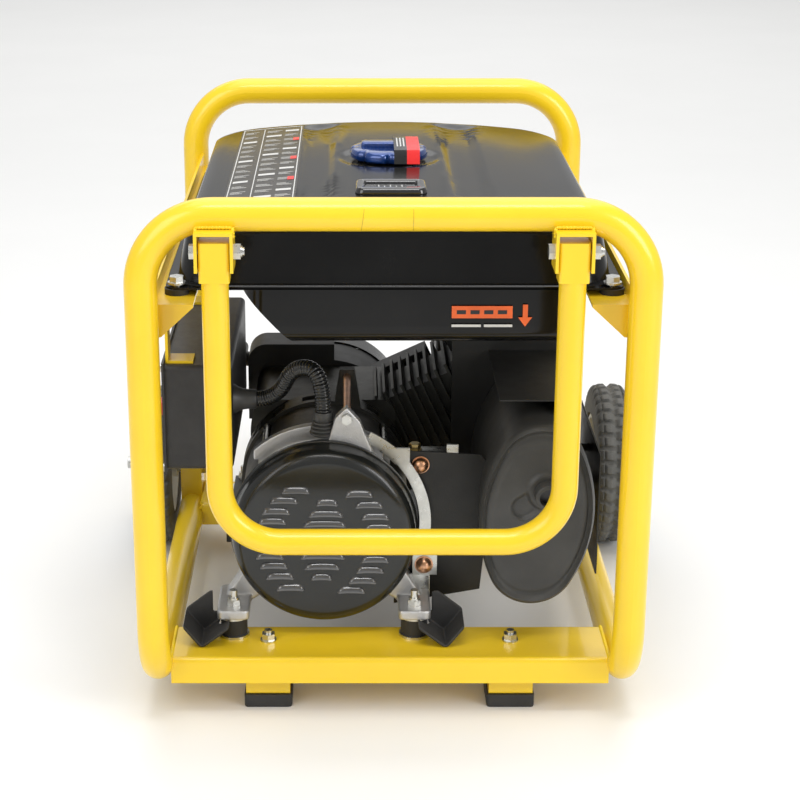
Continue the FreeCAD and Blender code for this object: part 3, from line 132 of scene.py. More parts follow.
M = {
    "yellow": finish_mat("yellow_paint", (0.90, 0.61, 0.014), 0.30, spread=0.035, scale=9,
                         bump=0.10, bump_scale=260, coat=0.35, rough_spread=0.05, dust=0.03),
    "weld": finish_mat("painted_weld", (0.88, 0.62, 0.012), 0.40, spread=0.08, scale=60, bump=0.5,
                       bump_scale=500),
    "tank": finish_mat("tank_black", (0.004, 0.004, 0.004), 0.15, spread=0.3, scale=7, coat=0.04,
                       bump=0.02, bump_scale=120, rough_spread=0.04, dust=0.006, shine=0.24),
    # Louvre hoods: the cover's own paint given a lighter grey base colour, as painted highlight on
    # the hoods.
    "hood": finish_mat("louvre_black_painted_highlight", (0.060, 0.061, 0.064), 0.18, spread=0.1, scale=30, coat=0.9,
                       shine=0.7),
    "seam": finish_mat("paint_seam", (0.42, 0.28, 0.008), 0.5, spread=0.1, scale=60),
    "cover": finish_mat("cover_black", (0.008, 0.009, 0.008), 0.24, spread=0.2, scale=14, coat=0.12,
                        bump=0.06, bump_scale=520, rough_spread=0.05, dust=0.015),
    "dark": finish_mat("heat_black", (0.040, 0.040, 0.038), 0.46, spread=0.2, scale=16, bump=0.15,
                       bump_scale=600, dust=0.05),
    # Darker copy of the heat black paint: painted shade for parts that sit in shadow.
    "shade": finish_mat("heat_black_painted_shade", (0.012, 0.012, 0.011), 0.5, spread=0.25, scale=18,
                        bump=0.15, bump_scale=600, dust=0.03),
    "hose": finish_mat("hose_black", (0.009, 0.010, 0.010), 0.26, spread=0.2, scale=40, coat=0.3,
                       rough_spread=0.05),
    "boot": finish_mat("boot_rubber", (0.045, 0.045, 0.043), 0.42, spread=0.15, scale=40, bump=0.1,
                       bump_scale=700),
    "rubber": finish_mat("black_rubber", (0.022, 0.022, 0.022), 0.62, spread=0.2, scale=30,
                         bump=0.25, bump_scale=700, dust=0.10),
    "tyre": finish_mat("tyre_rubber", (0.105, 0.105, 0.098), 0.72, spread=0.18, scale=24, bump=0.4,
                       bump_scale=500, dust=0.25),
    "zinc": finish_mat("zinc_steel", (0.60, 0.60, 0.57), 0.30, metal=1.0, spread=0.12, scale=60,
                       rough_spread=0.12),
    "passivated": finish_mat("yellow_zinc", (0.62, 0.50, 0.24), 0.30, metal=1.0, spread=0.2,
                             scale=80, rough_spread=0.1),
    "copper": finish_mat("copper_plate", (0.72, 0.40, 0.24), 0.32, metal=1.0, spread=0.15, scale=90,
                         rough_spread=0.1),
    "steel": finish_mat("plain_steel", (0.30, 0.29, 0.28), 0.42, metal=0.9, spread=0.15, scale=50,
                        bump=0.1, bump_scale=800),
    "alu": finish_mat("cast_aluminium", (0.56, 0.56, 0.56), 0.42, metal=0.85, spread=0.12, scale=40,
                      bump=0.35, bump_scale=650, rough_spread=0.12),
    "engine": finish_mat("engine_casting", (0.055, 0.055, 0.048), 0.42, metal=0.6, spread=0.3,
                         scale=30, bump=0.4, bump_scale=600, dust=0.08),
    "iron": finish_mat("cast_iron", (0.12, 0.115, 0.11), 0.5, metal=0.8, spread=0.2, scale=40,
                       bump=0.3, bump_scale=500),
    "plastic": finish_mat("black_plastic", (0.020, 0.020, 0.021), 0.45, spread=0.2, scale=30,
                          bump=0.3, bump_scale=900, dust=0.05),
    "gloss": finish_mat("gloss_black", (0.008, 0.008, 0.008), 0.12, spread=0.2, scale=20, coat=0.8),
    "blue": finish_mat("blue_cap", (0.006, 0.045, 0.22), 0.16, metal=0.35, spread=0.3, scale=22,
                       coat=0.8, rough_spread=0.05),
    "red": finish_mat("red_plastic", (0.62, 0.02, 0.012), 0.3, spread=0.1, scale=30, coat=0.3),
    "rim": finish_mat("rim_paint", (0.62, 0.62, 0.60), 0.35, metal=0.3, spread=0.06, scale=20,
                      bump=0.08, bump_scale=300, dust=0.05),
    "rope": finish_mat("starter_rope", (0.04, 0.04, 0.04), 0.8, spread=0.3, scale=300, bump=0.6,
                       bump_scale=900),
    "label": finish_mat("label_black", (0.012, 0.012, 0.013), 0.3, spread=0.15, scale=40),
    "white": finish_mat("print_white", (0.62, 0.62, 0.60), 0.45, spread=0.05, scale=60),
    "orange": finish_mat("print_orange", (0.80, 0.13, 0.02), 0.4, spread=0.06, scale=60),
    "tag_red": finish_mat("tag_red", (0.80, 0.02, 0.02), 0.35, spread=0.06, scale=60),
}


# ------------------------------------------------------------------ mesh builders
def add_mesh(name, verts, faces, mat, body="chassis", smooth=True, hard=None):
    """Mesh object that rides on a body; hard is the edge angle in degrees kept sharp."""
    mesh = bpy.data.meshes.new(name)
    mesh.from_pydata([tuple(v) for v in verts], [], faces)
    mesh.materials.append(M[mat])
    obj = bpy.data.objects.new(name, mesh)
    bpy.context.scene.collection.objects.link(obj)
    bm = bmesh.new()
    bm.from_mesh(mesh)
    bmesh.ops.remove_doubles(bm, verts=bm.verts, dist=1e-7)
    bmesh.ops.recalc_face_normals(bm, faces=bm.faces)
    if hard is not None:
        for e in bm.edges:
            if len(e.link_faces) == 2 and e.calc_face_angle(0) > math.radians(hard):
                e.smooth = False
    bm.to_mesh(mesh)
    bm.free()
    if smooth:
        mesh.polygons.foreach_set("use_smooth", [True] * len(mesh.polygons))
    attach(obj, body)
    return obj


def merge(name, parts, mat, body="chassis", smooth=True, hard=35):
    """One object from several (verts, faces) pairs."""
    verts, faces = [], []
    for vs, fs in parts:
        base = len(verts)
        verts += list(vs)
        faces += [tuple(i + base for i in f) for f in fs]
    return add_mesh(name, verts, faces, mat, body, smooth, hard)


def ring_frame(axis):
    """Two unit vectors across an axis, and the axis itself."""
    a = Vector(axis).normalized()
    side = Vector((0, 0, 1)) if abs(a.z) < 0.9 else Vector((1, 0, 0))
    u = side.cross(a).normalized()
    return u, a.cross(u).normalized(), a


def lathe(profile, origin, axis, segments=64, wobble=None):
    """Turn (radius, distance) pairs, mm, round an axis; closes its ends at radius zero."""
    u, v, a = ring_frame(axis)
    o = pt(*origin)
    verts, faces = [], []
    n = len(profile)
    for i in range(segments):
        ang = 2 * math.pi * i / segments
        d = u * math.cos(ang) + v * math.sin(ang)
        for r, h in profile:
            extra = wobble(ang, r) if wobble else 0.0
            verts.append(o + d * ((r + extra) / 1000) + a * (h / 1000))
    for i in range(segments):
        j = (i + 1) % segments
        for k in range(n - 1):
            faces.append((i * n + k, j * n + k, j * n + k + 1, i * n + k + 1))
    return verts, faces


def sweep(points, radius, segments=20, caps=True):
    """Tube through points (metres); radius is a number or a function of length along it, mm."""
    pts = [Vector(p) for p in points]
    verts, faces = [], []
    tangent = (pts[1] - pts[0]).normalized()
    u, v, _ = ring_frame(tangent)
    run = 0.0
    for i, p in enumerate(pts):
        ahead = pts[min(i + 1, len(pts) - 1)] - pts[max(i - 1, 0)]
        ahead.normalize()
        turn = tangent.rotation_difference(ahead)
        u, v = turn @ u, turn @ v
        tangent = ahead
        if i:
            run += (p - pts[i - 1]).length
        r = radius(run * 1000) if callable(radius) else radius
        for k in range(segments):
            ang = 2 * math.pi * k / segments
            verts.append(p + (u * math.cos(ang) + v * math.sin(ang)) * (r / 1000))
    for i in range(len(pts) - 1):
        for k in range(segments):
            k2 = (k + 1) % segments
            a = i * segments
            b = a + segments
            faces.append((a + k, a + k2, b + k2, b + k))
    if caps:
        faces.append(tuple(range(segments)))
        last = (len(pts) - 1) * segments
        faces.append(tuple(last + k for k in reversed(range(segments))))
    return verts, faces


def block(x0, x1, y0, y1, z0, z1, r=1.0):
    """Box with small bevelled edges, mm."""
    bm = bmesh.new()
    bmesh.ops.create_cube(bm, size=1.0)
    for v in bm.verts:
        v.co = pt(lerp(x0, x1, v.co.x + 0.5), lerp(y0, y1, v.co.y + 0.5),
                  lerp(z0, z1, v.co.z + 0.5))
    if r > 0:
        bmesh.ops.bevel(bm, geom=bm.edges[:], offset=r / 1000, segments=3, affect="EDGES",
                        profile=0.5)
    bm.verts.index_update()
    verts = [v.co.copy() for v in bm.verts]
    faces = [tuple(v.index for v in f.verts) for f in bm.faces]
    bm.free()
    return verts, faces


def hexhead(p, axis, across, height, chamfer=0.8):
    """Hexagon head with a chamfered crown, mm."""
    u, v, a = ring_frame(axis)
    o = pt(*p)
    rc = across / math.sqrt(3)
    verts, faces = [], []
    levels = ((0.0, rc), (height - chamfer, rc), (height, rc - chamfer * 1.1))
    for h, r in levels:
        for k in range(6):
            ang = math.radians(60 * k + 30)
            verts.append(o + (u * math.cos(ang) + v * math.sin(ang)) * (r / 1000) + a * (h / 1000))
    for lv in range(2):
        for k in range(6):
            k2 = (k + 1) % 6
            faces.append((lv * 6 + k, lv * 6 + k2, lv * 6 + 6 + k2, lv * 6 + 6 + k))
    faces.append(tuple(range(5, -1, -1)))
    faces.append(tuple(range(12, 18)))
    return verts, faces


# ------------------------------------------------------------------ CAD nodes that keep their shape
PAINT = {
    "yellow": ["front_hoop", "rear_hoop", "base_rails", "cross_members", "side_rails",
               "tow_handle"],
    "zinc": ["frame_bolts", "wheel_axles", "engine_bolts", "fuel_tap_lever", "choke_lever",
             "alternator_stay"],
    "alu": ["alternator_end_bracket", "fuel_tap", "carburettor"],
    "steel": ["alternator_rotor", "crankshaft", "exhaust_pipe"],
    "iron": ["flywheel_fan", "alternator_stator"],
    "engine": ["alternator_adaptor", "crankcase", "cylinder_block", "cylinder_head"],
    "cover": ["rocker_cover", "recoil_housing"],
    "tank": ["fuel_tank_lower"],
    "dark": ["muffler_body"],
    # Shadowed heat black parts take the darker copy: painted shade.
    "shade": ["fan_shroud", "engine_base", "muffler_plate", "heat_shield"],
    "rubber": ["rubber_mounts", "cap_seal", "spark_plug_cap", "fuel_hose"],
    "plastic": ["recoil_reel", "panel_box", "panel_plate", "panel_fittings",
                "air_filter_housing", "air_filter_cover"],
    "red": ["engine_switch", "breaker_button"],
    "rope": ["recoil_rope"],
    "rim": ["right_rim", "left_rim"],
}
for finish, names in PAINT.items():
    for name in names:
        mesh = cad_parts[name].data
        mesh.materials.clear()
        mesh.materials.append(M[finish])


# ------------------------------------------------------------------ fuel tank
TANK = (-222.0, 227.0, 48.0, 598.0)
SKIRT_Z = 457.0                      # foot of the upper shell's wall
SHOULDER_Z = 501.0                   # where the wall turns into the top
CROWN = 521.9
CROWN_R = 1500.0
GROOVES = ((-93.0, -62.0, -62.0), (67.0, 102.0, 67.0))    # from x, to x, x of the inner edge
GROOVE_DEPTH = 3.8
RECESS = (50.0, 2.9)                 # filler recess: radius and depth
MID_X = (TANK[0] + TANK[1]) / 2
FILL = (2.0, 360.0)


def crown_height(x, y):
    """Top surface of the tank, mm: arched crown, two stepped grooves, round filler recess."""
    z = CROWN - CROWN_R + math.sqrt(CROWN_R * CROWN_R - (x - MID_X) ** 2)
    fade = smooth_step((y - TANK[2] - 26) / 26) * smooth_step((TANK[3] - 26 - y) / 26)
    for g0, g1, inner in GROOVES:
        dip = smooth_step((x - g0 + 5) / 9) * smooth_step((g1 + 5 - x) / 9)
        z -= GROOVE_DEPTH * dip * fade
        ridge = math.exp(-((x - inner - math.copysign(7, -inner)) / 4.5) ** 2)
        z += ridge * fade - fade * 0.2
    r = math.hypot(x - FILL[0], y - FILL[1])
    z -= RECESS[1] * (1 - smooth_step((r - RECESS[0]) / 8))
    return z


def outline(inset, corner, per_arc=14, along=26):
    """Closed plan outline of the tank wall, mm, inset from the skirt foot."""
    x0, x1 = TANK[0] + 9 + inset, TANK[1] - 9 - inset
    y0, y1 = TANK[2] + 9 + inset, TANK[3] - 9 - inset
    r = corner
    pts = []
    runs = ((x1 - r, y0 + r, -90), (x1 - r, y1 - r, 0), (x0 + r, y1 - r, 90), (x0 + r, y0 + r, 180))
    for cx, cy, start in runs:
        for k in range(per_arc + 1):
            a = math.radians(start + 90 * k / per_arc)
            pts.append((cx + r * math.cos(a), cy + r * math.sin(a)))
        nxt = runs[(runs.index((cx, cy, start)) + 1) % 4]
        a = math.radians(start + 90)
        b = (nxt[0] + r * math.cos(a), nxt[1] + r * math.sin(a))
        last = pts[-1]
        for k in range(1, along):
            pts.append((lerp(last[0], b[0], k / along), lerp(last[1], b[1], k / along)))
    return pts


def build_tank():
    """Upper shell as stacked outlines up to the shoulder and a draped top."""
    low = SKIRT_Z + 2
    levels = [(0.0, SKIRT_Z), (0.6, low)]
    for k in range(1, 9):
        levels.append((0.6 + 8.2 * k / 8, low + (SHOULDER_Z - low) * k / 8))
    rings = []
    for inset, z in levels:
        rings.append([(x, y, z) for x, y in outline(inset, 42 - inset * 0.2)])
    for k in range(1, 11):
        a = math.radians(9 * k)
        inset = 8.8 + 15 * (1 - math.cos(a))
        ring = []
        for x, y in outline(inset, 40):
            top = crown_height(x, y)
            ring.append((x, y, lerp(SHOULDER_Z, top, math.sin(a))))
        rings.append(ring)
    inner = rings[-1]
    steps = 44
    for k in range(1, steps + 1):
        t = 1 - k / steps
        ring = []
        for x, y, _ in inner:
            px, py = lerp(FILL[0], x, t), lerp(FILL[1], y, t)
            ring.append((px, py, crown_height(px, py)))
        rings.append(ring)
    n = len(rings[0])
    verts = [pt(*p) for ring in rings for p in ring]
    faces = []
    for i in range(len(rings) - 1):
        for k in range(n):
            k2 = (k + 1) % n
            faces.append((i * n + k, i * n + k2, (i + 1) * n + k2, (i + 1) * n + k))
    return add_mesh("tank_shell", verts, faces, "tank", hard=60)


def build_flange():
    """Pressed rim all round the tank's seam, with a turned-down lip."""
    section = [(-0.4, 453.4), (-0.4, 456.6), (0.4, 457.4), (8.8, 457.4), (8.8, 455.1), (1.6, 455.1),
               (1.6, 453.4)]
    rings = []
    for inset, z in section:
        rings.append([pt(x, y, z) for x, y in outline(inset - 8.6, 46 - inset)])
    n = len(rings[0])
    verts = [p for ring in rings for p in ring]
    faces = []
    for i in range(len(rings)):
        j = (i + 1) % len(rings)
        for k in range(n):
            k2 = (k + 1) % n
            faces.append((i * n + k, i * n + k2, j * n + k2, j * n + k))
    return add_mesh("tank_flange", verts, faces, "tank", hard=30)


tank_shell = build_tank()
tank_flange = build_flange()
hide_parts("fuel_tank_upper")
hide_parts("fuel_tank_upper")


def drape(name, rects, mat, lift=0.25):
    """Thin printed patches lying on the tank's crown; rects are (x0, x1, y0, y1), mm."""
    parts = []
    for x0, x1, y0, y1 in rects:
        nx, ny = max(1, int((x1 - x0) / 6)), max(1, int((y1 - y0) / 6))
        verts, faces = [], []
        for i in range(nx + 1):
            for j in range(ny + 1):
                x = lerp(x0, x1, i / nx)
                y = lerp(y0, y1, j / ny)
                verts.append(pt(x, y, crown_height(x, y) + lift))
        for i in range(nx):
            for j in range(ny):
                a = i * (ny + 1) + j
                faces.append((a, a + 1, a + ny + 2, a + ny + 1))
        parts.append((verts, faces))
    obj = merge(name, parts, mat, hard=60)
    return obj


# ------------------------------------------------------------------ printed plate on the tank
LABEL = (-172.0, -97.5, 128.0, 560.0)


def tank_label():
    """Dark plate with pale rules, marks and three red squares, and no wording."""
    x0, x1, y0, y1 = LABEL
    rows = 15
    drape("label_field", [(x0, x1, y0, y1)], "label", 0.15)
    edge = 1.1
    border = [(x0 + 2, x1 - 2, y0 + 2, y0 + 2 + edge * 2),
              (x0 + 2, x1 - 2, y1 - 2 - edge * 2, y1 - 2),
              (x0 + 2, x0 + 2 + edge, y0 + 2, y1 - 2), (x1 - 2 - edge, x1 - 2, y0 + 2, y1 - 2),
              (x0 + 27, x0 + 28, y0 + 8, y1 - 8)]
    marks, reds = [], []
    for row in range(rows):
        y = lerp(y0 + 22, y1 - 30, row / (rows - 1))
        for col, (a, b) in enumerate(((5, 21), (31, 49), (53, 69))):
            if (row * 3 + col) % 4 == 0:
                marks.append((x0 + a, x0 + b, y, y + 9))
            else:
                for k in range(3):
                    short = (row * 5 + col * 3 + k) % 3
                    marks.append((x0 + a, x0 + b - 3 * short, y + 4 * k, y + 4 * k + 1.6))
    for row in (4, 8, 12):
        y = lerp(y0 + 22, y1 - 30, row / (rows - 1))
        reds.append((x1 - 11, x1 - 4, y - 4, y + 12))
    drape("label_border", border, "white", 0.3)
    drape("label_marks", marks, "white", 0.35)
    drape("label_squares", reds, "tag_red", 0.5)


tank_label()


# ------------------------------------------------------------------ filler cap, its tag, and gauge
def cap_scallops(ang, r):
    """Eight finger scallops round the skirt."""
    if r < 34:
        return 0.0
    wave = max(0.0, math.cos(8 * ang)) ** 3
    return -3.4 * wave * smooth_step((r - 34) / 8)


def fuel_cap():
    """Blue cap: scalloped skirt, ribbed finger grip across the top."""
    x, y = FILL
    skirt = [(35, 0.6), (41.5, 0.6), (43.2, 2.4), (43.6, 7.0), (42.4, 10.2), (39.5, 12.0),
             (33, 12.8), (26, 12.6), (20, 12.2), (0, 12.4)]
    shell = lathe(skirt, (x, y, 520.5), (0, 0, 1), 192, cap_scallops)
    grip = block(x - 31, x + 31, y - 8.5, y + 8.5, 530, 538.9, 3.2)
    ribs = [block(x - 26 + 52 * k / 12, x - 24.6 + 52 * k / 12, y - 9.2, y + 9.2, 531, 537.4, 0.4)
            for k in range(13)]
    cap = merge("fuel_cap_blue", [shell, grip] + ribs, "blue", "filler_cap", hard=38)
    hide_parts("fuel_cap")


def cap_tag():
    """Vinyl tag looped over the cap: black strip with pale lines, red strip beside it."""
    x, y = FILL

    def strip(x0, x1):
        line = [(y - 51, 523.0), (y - 49.4, 531.0), (y - 46, 537.6), (y - 38, 539.2),
                (y - 12, 539.6), (y + 14, 539.6), (y + 28, 538.4), (y + 34, 534.0)]
        verts, faces = [], []
        for py, pz in line:
            for px in (x0, x1):
                verts.append(pt(px, py, pz))
        for i in range(len(line) - 1):
            faces.append((2 * i, 2 * i + 1, 2 * i + 3, 2 * i + 2))
        return verts, faces

    black = merge("cap_tag_black", [strip(x + 5, x + 19)], "label", "filler_cap", hard=50)
    red = merge("cap_tag_red", [strip(x + 19, x + 33)], "tag_red", "filler_cap", hard=50)
    lines = []
    for k in range(3):
        a = x + 8 + 3.6 * k
        verts = [pt(a, y - 36, 539.75), pt(a + 1.5, y - 36, 539.75), pt(a + 1.5, y + 12, 539.95),
                 pt(a, y + 12, 539.95)]
        lines.append((verts, [(0, 1, 2, 3)]))
    pale = merge("cap_tag_lines", lines, "white", "filler_cap", hard=50)


def fuel_gauge():
    """Glossy rounded bezel with a sunk window and a needle drum."""
    ring = []
    for inset, z in ((0, 521.6), (0.3, 525.0), (1.8, 527.4), (3.6, 528.0), (7.5, 528.0),
                     (9.5, 526.6), (10.4, 524.2)):
        loop = []
        for cx, cy, start in ((28, 175, -90), (28, 205, 0), (-26, 205, 90), (-26, 175, 180)):
            for k in range(9):
                a = math.radians(start + 90 * k / 8)
                r = max(1.0, 10 - inset * 0.8)
                d = 10 - inset
                loop.append(pt(cx + (d - r) * math.copysign(1, cx) + r * math.cos(a),
                               cy + (d - r) * (1 if cy > 190 else -1) + r * math.sin(a), z))
        ring.append(loop)
    n = len(ring[0])
    verts = [p for loop in ring for p in loop]
    faces = []
    for i in range(len(ring) - 1):
        for k in range(n):
            k2 = (k + 1) % n
            faces.append((i * n + k, i * n + k2, i * n + n + k2, i * n + n + k))
    bezel = add_mesh("gauge_bezel", verts, faces, "gloss", hard=40)
    glass = merge("gauge_window", [block(-26.5, 28.5, 175, 205, 522.6, 524.6, 0.3)], "gloss")
    needle = merge("gauge_needle", [block(-14, 16, 181, 199, 524.4, 525.1, 0.2)], "label")
    marks = [block(-12 + 6 * k, -11 + 6 * k, 184, 190 if k % 2 else 194, 525.0, 525.3, 0)
             for k in range(5)]
    tick = merge("gauge_marks", marks, "white", smooth=False, hard=None)
    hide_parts("fuel_gauge")


fuel_cap()
cap_tag()
fuel_gauge()


# ------------------------------------------------------------------ alternator end cover
COVER = {"front": 76.0, "back": 108.0, "face_r": 82.0, "edge_r": 14.0, "rim_r": 98.9}
LOUVRE = {"height": 6.4, "depth": 3.4}
LOUVRE_ROWS = (
    # left column, middle column, right column: (x, z) offsets from the axis and the width, mm
    ((-28.5, 56, 30), (-40.6, 45, 30), (-49, 33, 30), (-53, 22, 30), (-57, 11, 30), (-58, -4, 30),
     (-56, -17, 30), (-52, -28, 30), (-45.5, -40, 30), (-35, -53, 30)),
    ((3.6, 42.5, 23), (2.3, 30, 37), (1, 19, 46), (0.5, 7, 50), (-0.5, -5, 50), (-1, -17, 48),
     (-1.6, -29, 38), (-2.4, -41, 23)),
    ((36.7, 52, 30), (47, 40, 30), (53.5, 27, 30), (57, 15, 30), (58, 3, 30), (57, -9, 30),
     (53.5, -21, 30), (48.4, -33, 30), (40.3, -45, 30), (28.7, -56, 30)),
)


def louvre(dx, dz, width):
    """Pressed hood: rounded over the top and at both ends, open underneath."""
    verts, faces = [], []
    nu, nv = 22, 7
    h, deep = LOUVRE["height"], LOUVRE["depth"]
    for i in range(nu + 1):
        u = -1 + 2 * i / nu
        end = (1 - abs(u) ** 7) ** 0.5
        pinch = 2.2 * (1 - end)
        for j in range(nv + 1):
            v = j / nv
            x = CRANK[0] + dx + width / 2 * u * lerp(0.90, 1.0, v)
            z = CRANK[1] + dz + h * (0.5 - v) - 1.4 * abs(u) ** 3 - pinch * (1 - v)
            out = deep * end * math.sin(math.pi * 0.60 * v ** 0.8)
            verts.append(pt(x, COVER["front"] - out + 0.05, z))
        x = CRANK[0] + dx + width / 2 * u
        z = CRANK[1] + dz - h * 0.5 - 1.4 * abs(u) ** 3 + 0.5
        verts.append(pt(x, COVER["front"] + 0.15, z))
    row = nv + 2
    for i in range(nu):
        for j in range(row - 1):
            a = i * row + j
            faces.append((a, a + 1, a + row + 1, a + row))
    return verts, faces


def end_cover():
    """Drawn cover with a rounded shoulder, raised louvres in a lighter grey as painted highlight,
    and near-black patches as painted shade in the slots under them.
    """
    r, front, back = COVER["edge_r"], COVER["front"], COVER["back"]
    profile = [(0.0, 0.0), (40.0, 0.0), (COVER["face_r"], 0.0)]
    for k in range(1, 13):
        a = math.radians(90 * k / 12)
        profile.append((COVER["face_r"] + r * math.sin(a), r * (1 - math.cos(a))))
    profile += [(96.3, 20.0), (96.6, 26.0), (97.4, 28.0), (COVER["rim_r"], 29.0),
                (COVER["rim_r"], back - front), (95.0, back - front)]
    shell = lathe(profile, (CRANK[0], front, CRANK[1]), (0, 1, 0), 144)
    bumps = [louvre(*spec) for column in LOUVRE_ROWS for spec in column]
    cover = merge("end_cover_shell", [shell], "cover", hard=50)
    # The hoods take the lighter louvre finish: painted highlight.
    hoods = merge("end_cover_louvres", bumps, "hood", hard=50)
    # Near-black matte patches on the face under the hoods: painted shade standing in for the open
    # slots.
    slots = []
    for column in LOUVRE_ROWS:
        for dx, dz, width in column:
            x, z = CRANK[0] + dx, CRANK[1] + dz - LOUVRE["height"] * 0.5 - 0.9
            slots.append(block(x - width * 0.40, x + width * 0.40, front - 0.12, front + 0.3,
                               z - 0.5, z + 1.2, 0.0))
    dark = merge("end_cover_slots_painted_shade", slots, "label", smooth=False, hard=None)
    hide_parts("alternator_end_cover")


end_cover()


# ------------------------------------------------------------------ corrugated lead and its boots
LEAD = ((-140, 168, 300), (-118, 160, 303), (-100, 146, 345), (-69, 124, 345), (-69, 122, 300))


def spline_points(route, name):
    """Points along the NURBS curve whose control points are the route, metres."""
    curve = bpy.data.curves.new(name, "CURVE")
    curve.dimensions = "3D"
    curve.resolution_u = 48
    spline = curve.splines.new("NURBS")
    spline.points.add(len(route) - 1)
    for point, place in zip(spline.points, route):
        point.co = (*pt(*place), 1.0)
    spline.order_u = 3
    spline.use_endpoint_u = True
    obj = bpy.data.objects.new(name, curve)
    bpy.context.scene.collection.objects.link(obj)
    mesh = bpy.data.meshes.new_from_object(obj)
    pts = [v.co.copy() for v in mesh.vertices]
    bpy.data.objects.remove(obj)
    bpy.data.curves.remove(curve)
    bpy.data.meshes.remove(mesh)
    return pts


def even(points, step):
    """The same line with points at an even step, metres."""
    out = [points[0]]
    carry = 0.0
    for a, b in zip(points, points[1:]):
        gap = (b - a).length
        d = step - carry
        while d <= gap:
            out.append(a.lerp(b, d / gap))
            d += step
        carry = (carry + gap) % step
    out.append(points[-1])
    return out


def wiring_lead():
    """Corrugated conduit along the lead, and a ribbed boot at each end."""
    line = even(spline_points(LEAD, "lead_path"), 0.0004)

    def ripple(s):
        return 7.4 + 1.1 * abs(math.sin(math.pi * s / 3.3)) ** 0.7

    lead = merge("wiring_conduit_ribbed", [sweep(line, ripple, 32)], "hose", hard=80)
    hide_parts("wiring_conduit")
    top = [(0.0, 0.0), (10.0, 0.0), (10.4, 1.0), (10.4, 9.0)]
    for k in range(4):
        h = 9.6 + 3.9 * k
        r = 11.6 + 0.9 * k
        top += [(r - 1.6, h), (r, h + 0.8), (r, h + 2.4), (r - 1.6, h + 3.2)]
    top += [(12.6, 25.2), (0, 25.2)]
    boot = lathe(top, (-69, 122, 302.4), (0, 0, -1), 56)
    side = [(0, 0), (9.6, 0.0), (10.4, 1.2), (10.6, 9.0), (11.4, 15.0), (13.4, 20.0), (15.4, 23.0),
            (15.8, 24.6), (0, 24.6)]
    gland = lathe(side, (-140.2, 168, 300), (-1, 0, 0), 56)
    boots = merge("conduit_boots_ribbed", [boot, gland], "boot", hard=40)
    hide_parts("conduit_boots")


wiring_lead()


# ------------------------------------------------------------------ muffler end cap
MUFFLER = (151.0, 206.0)             # x, z of the cap's middle
MUFFLER_HALF = (59.0, 98.8)
MUFFLER_END_R = 46.0                 # radius of the oval's two small arcs
CAP_FACE, CAP_BACK = 72.0, 78.0      # y of the pressed field and of the cap's back edge
LEAN = math.radians(4.0)
OUTLET = (161.0, 232.0)
OUTLET_Y, BORE_R, STUB_R = 52.4, 9.6, 13.9


def muffler_end():
    """Pressed oval cap: rolled rim, domed field, a trough and the outlet stub."""
    turns, rings = 160, 46
    end_r = MUFFLER_END_R
    half_x, half_z = MUFFLER_HALF
    off = half_z - end_r
    side_r = (off * off + half_x * half_x - end_r * end_r) / (2 * (half_x - end_r))
    reach = side_r - half_x
    join_angle = math.atan2(off * side_r, reach * side_r - reach * math.hypot(reach, off))

    def edge(a):
        """Distance from the middle to the four-arc oval in direction a, mm."""
        c, s = abs(math.cos(a)), abs(math.sin(a))
        if math.atan2(s, c) > join_angle:
            return off * s + math.sqrt(max(0.0, end_r * end_r - (off * c) ** 2))
        return -reach * c + math.sqrt(max(0.0, side_r * side_r - (reach * s) ** 2))

    def depth(t, x, z):
        """How far the pressing stands out towards the viewer, mm."""
        rim = 6.2 * math.exp(-((t - 0.955) / 0.034) ** 2)
        step = 1.6 * smooth_step((0.90 - t) / 0.05) - 0.8 * smooth_step((0.80 - t) / 0.06)
        dx, dz = x - OUTLET[0], z - OUTLET[1]
        along = -(dx * 0.80 + dz * 0.60)
        across = dx * 0.60 - dz * 0.80
        beyond = along - min(max(along, 0.0), 30.0)
        trough = -4.2 * (1 - smooth_step((math.hypot(beyond, across) - 8.5) / 6))
        boss = 3.0 * (1 - smooth_step((math.hypot(dx, dz) - 18) / 5))
        clear = 1 - smooth_step((22 - math.hypot(dx, dz)) / 5)
        return rim + step + max(boss, 0.0) + trough * clear

    verts, faces = [], []
    for i in range(rings + 1):
        t = 1 - i / rings
        for k in range(turns):
            a = 2 * math.pi * k / turns
            d = edge(a) * t
            u, w = d * math.cos(a), d * math.sin(a)
            x = MUFFLER[0] + u * math.cos(LEAN) + w * math.sin(LEAN)
            z = MUFFLER[1] - u * math.sin(LEAN) + w * math.cos(LEAN)
            verts.append(pt(x, CAP_FACE - depth(t, x, z), z))
    back = []
    for k in range(turns):
        back.append(Vector((verts[k].x, pt(0, CAP_BACK, 0).y, verts[k].z)))
    base = len(verts)
    verts += back
    for i in range(rings):
        for k in range(turns):
            k2 = (k + 1) % turns
            faces.append((i * turns + k, i * turns + k2, (i + 1) * turns + k2, (i + 1) * turns + k))
    for k in range(turns):
        k2 = (k + 1) % turns
        faces.append((base + k, base + k2, k2, k))
    mouth = (OUTLET[0], OUTLET_Y, OUTLET[1])
    wall = [(BORE_R, 12.0), (BORE_R, 0.0), (STUB_R - 0.5, 0.0), (STUB_R, 0.6), (STUB_R, 16.0)]
    stub = lathe(wall, mouth, (0, 1, 0), 48)
    bottom = lathe([(0, 11.9), (BORE_R, 11.9)], mouth, (0, 1, 0), 48)
    cap = merge("muffler_cap", [(verts, faces), stub], "dark", hard=60)
    # Near-black disc closing the outlet bore: soot colour, and painted shade for the depth of the
    # pipe beyond.
    soot_and_depth_shade = merge("muffler_cap_bore", [bottom], "label", hard=60)
    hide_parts("muffler_end_cap")


muffler_end()


# ------------------------------------------------------------------ wheels
WHEEL = {"y": 506.0, "z": 99.7, "x": 282.5, "width": 44.0, "radius": 99.7}


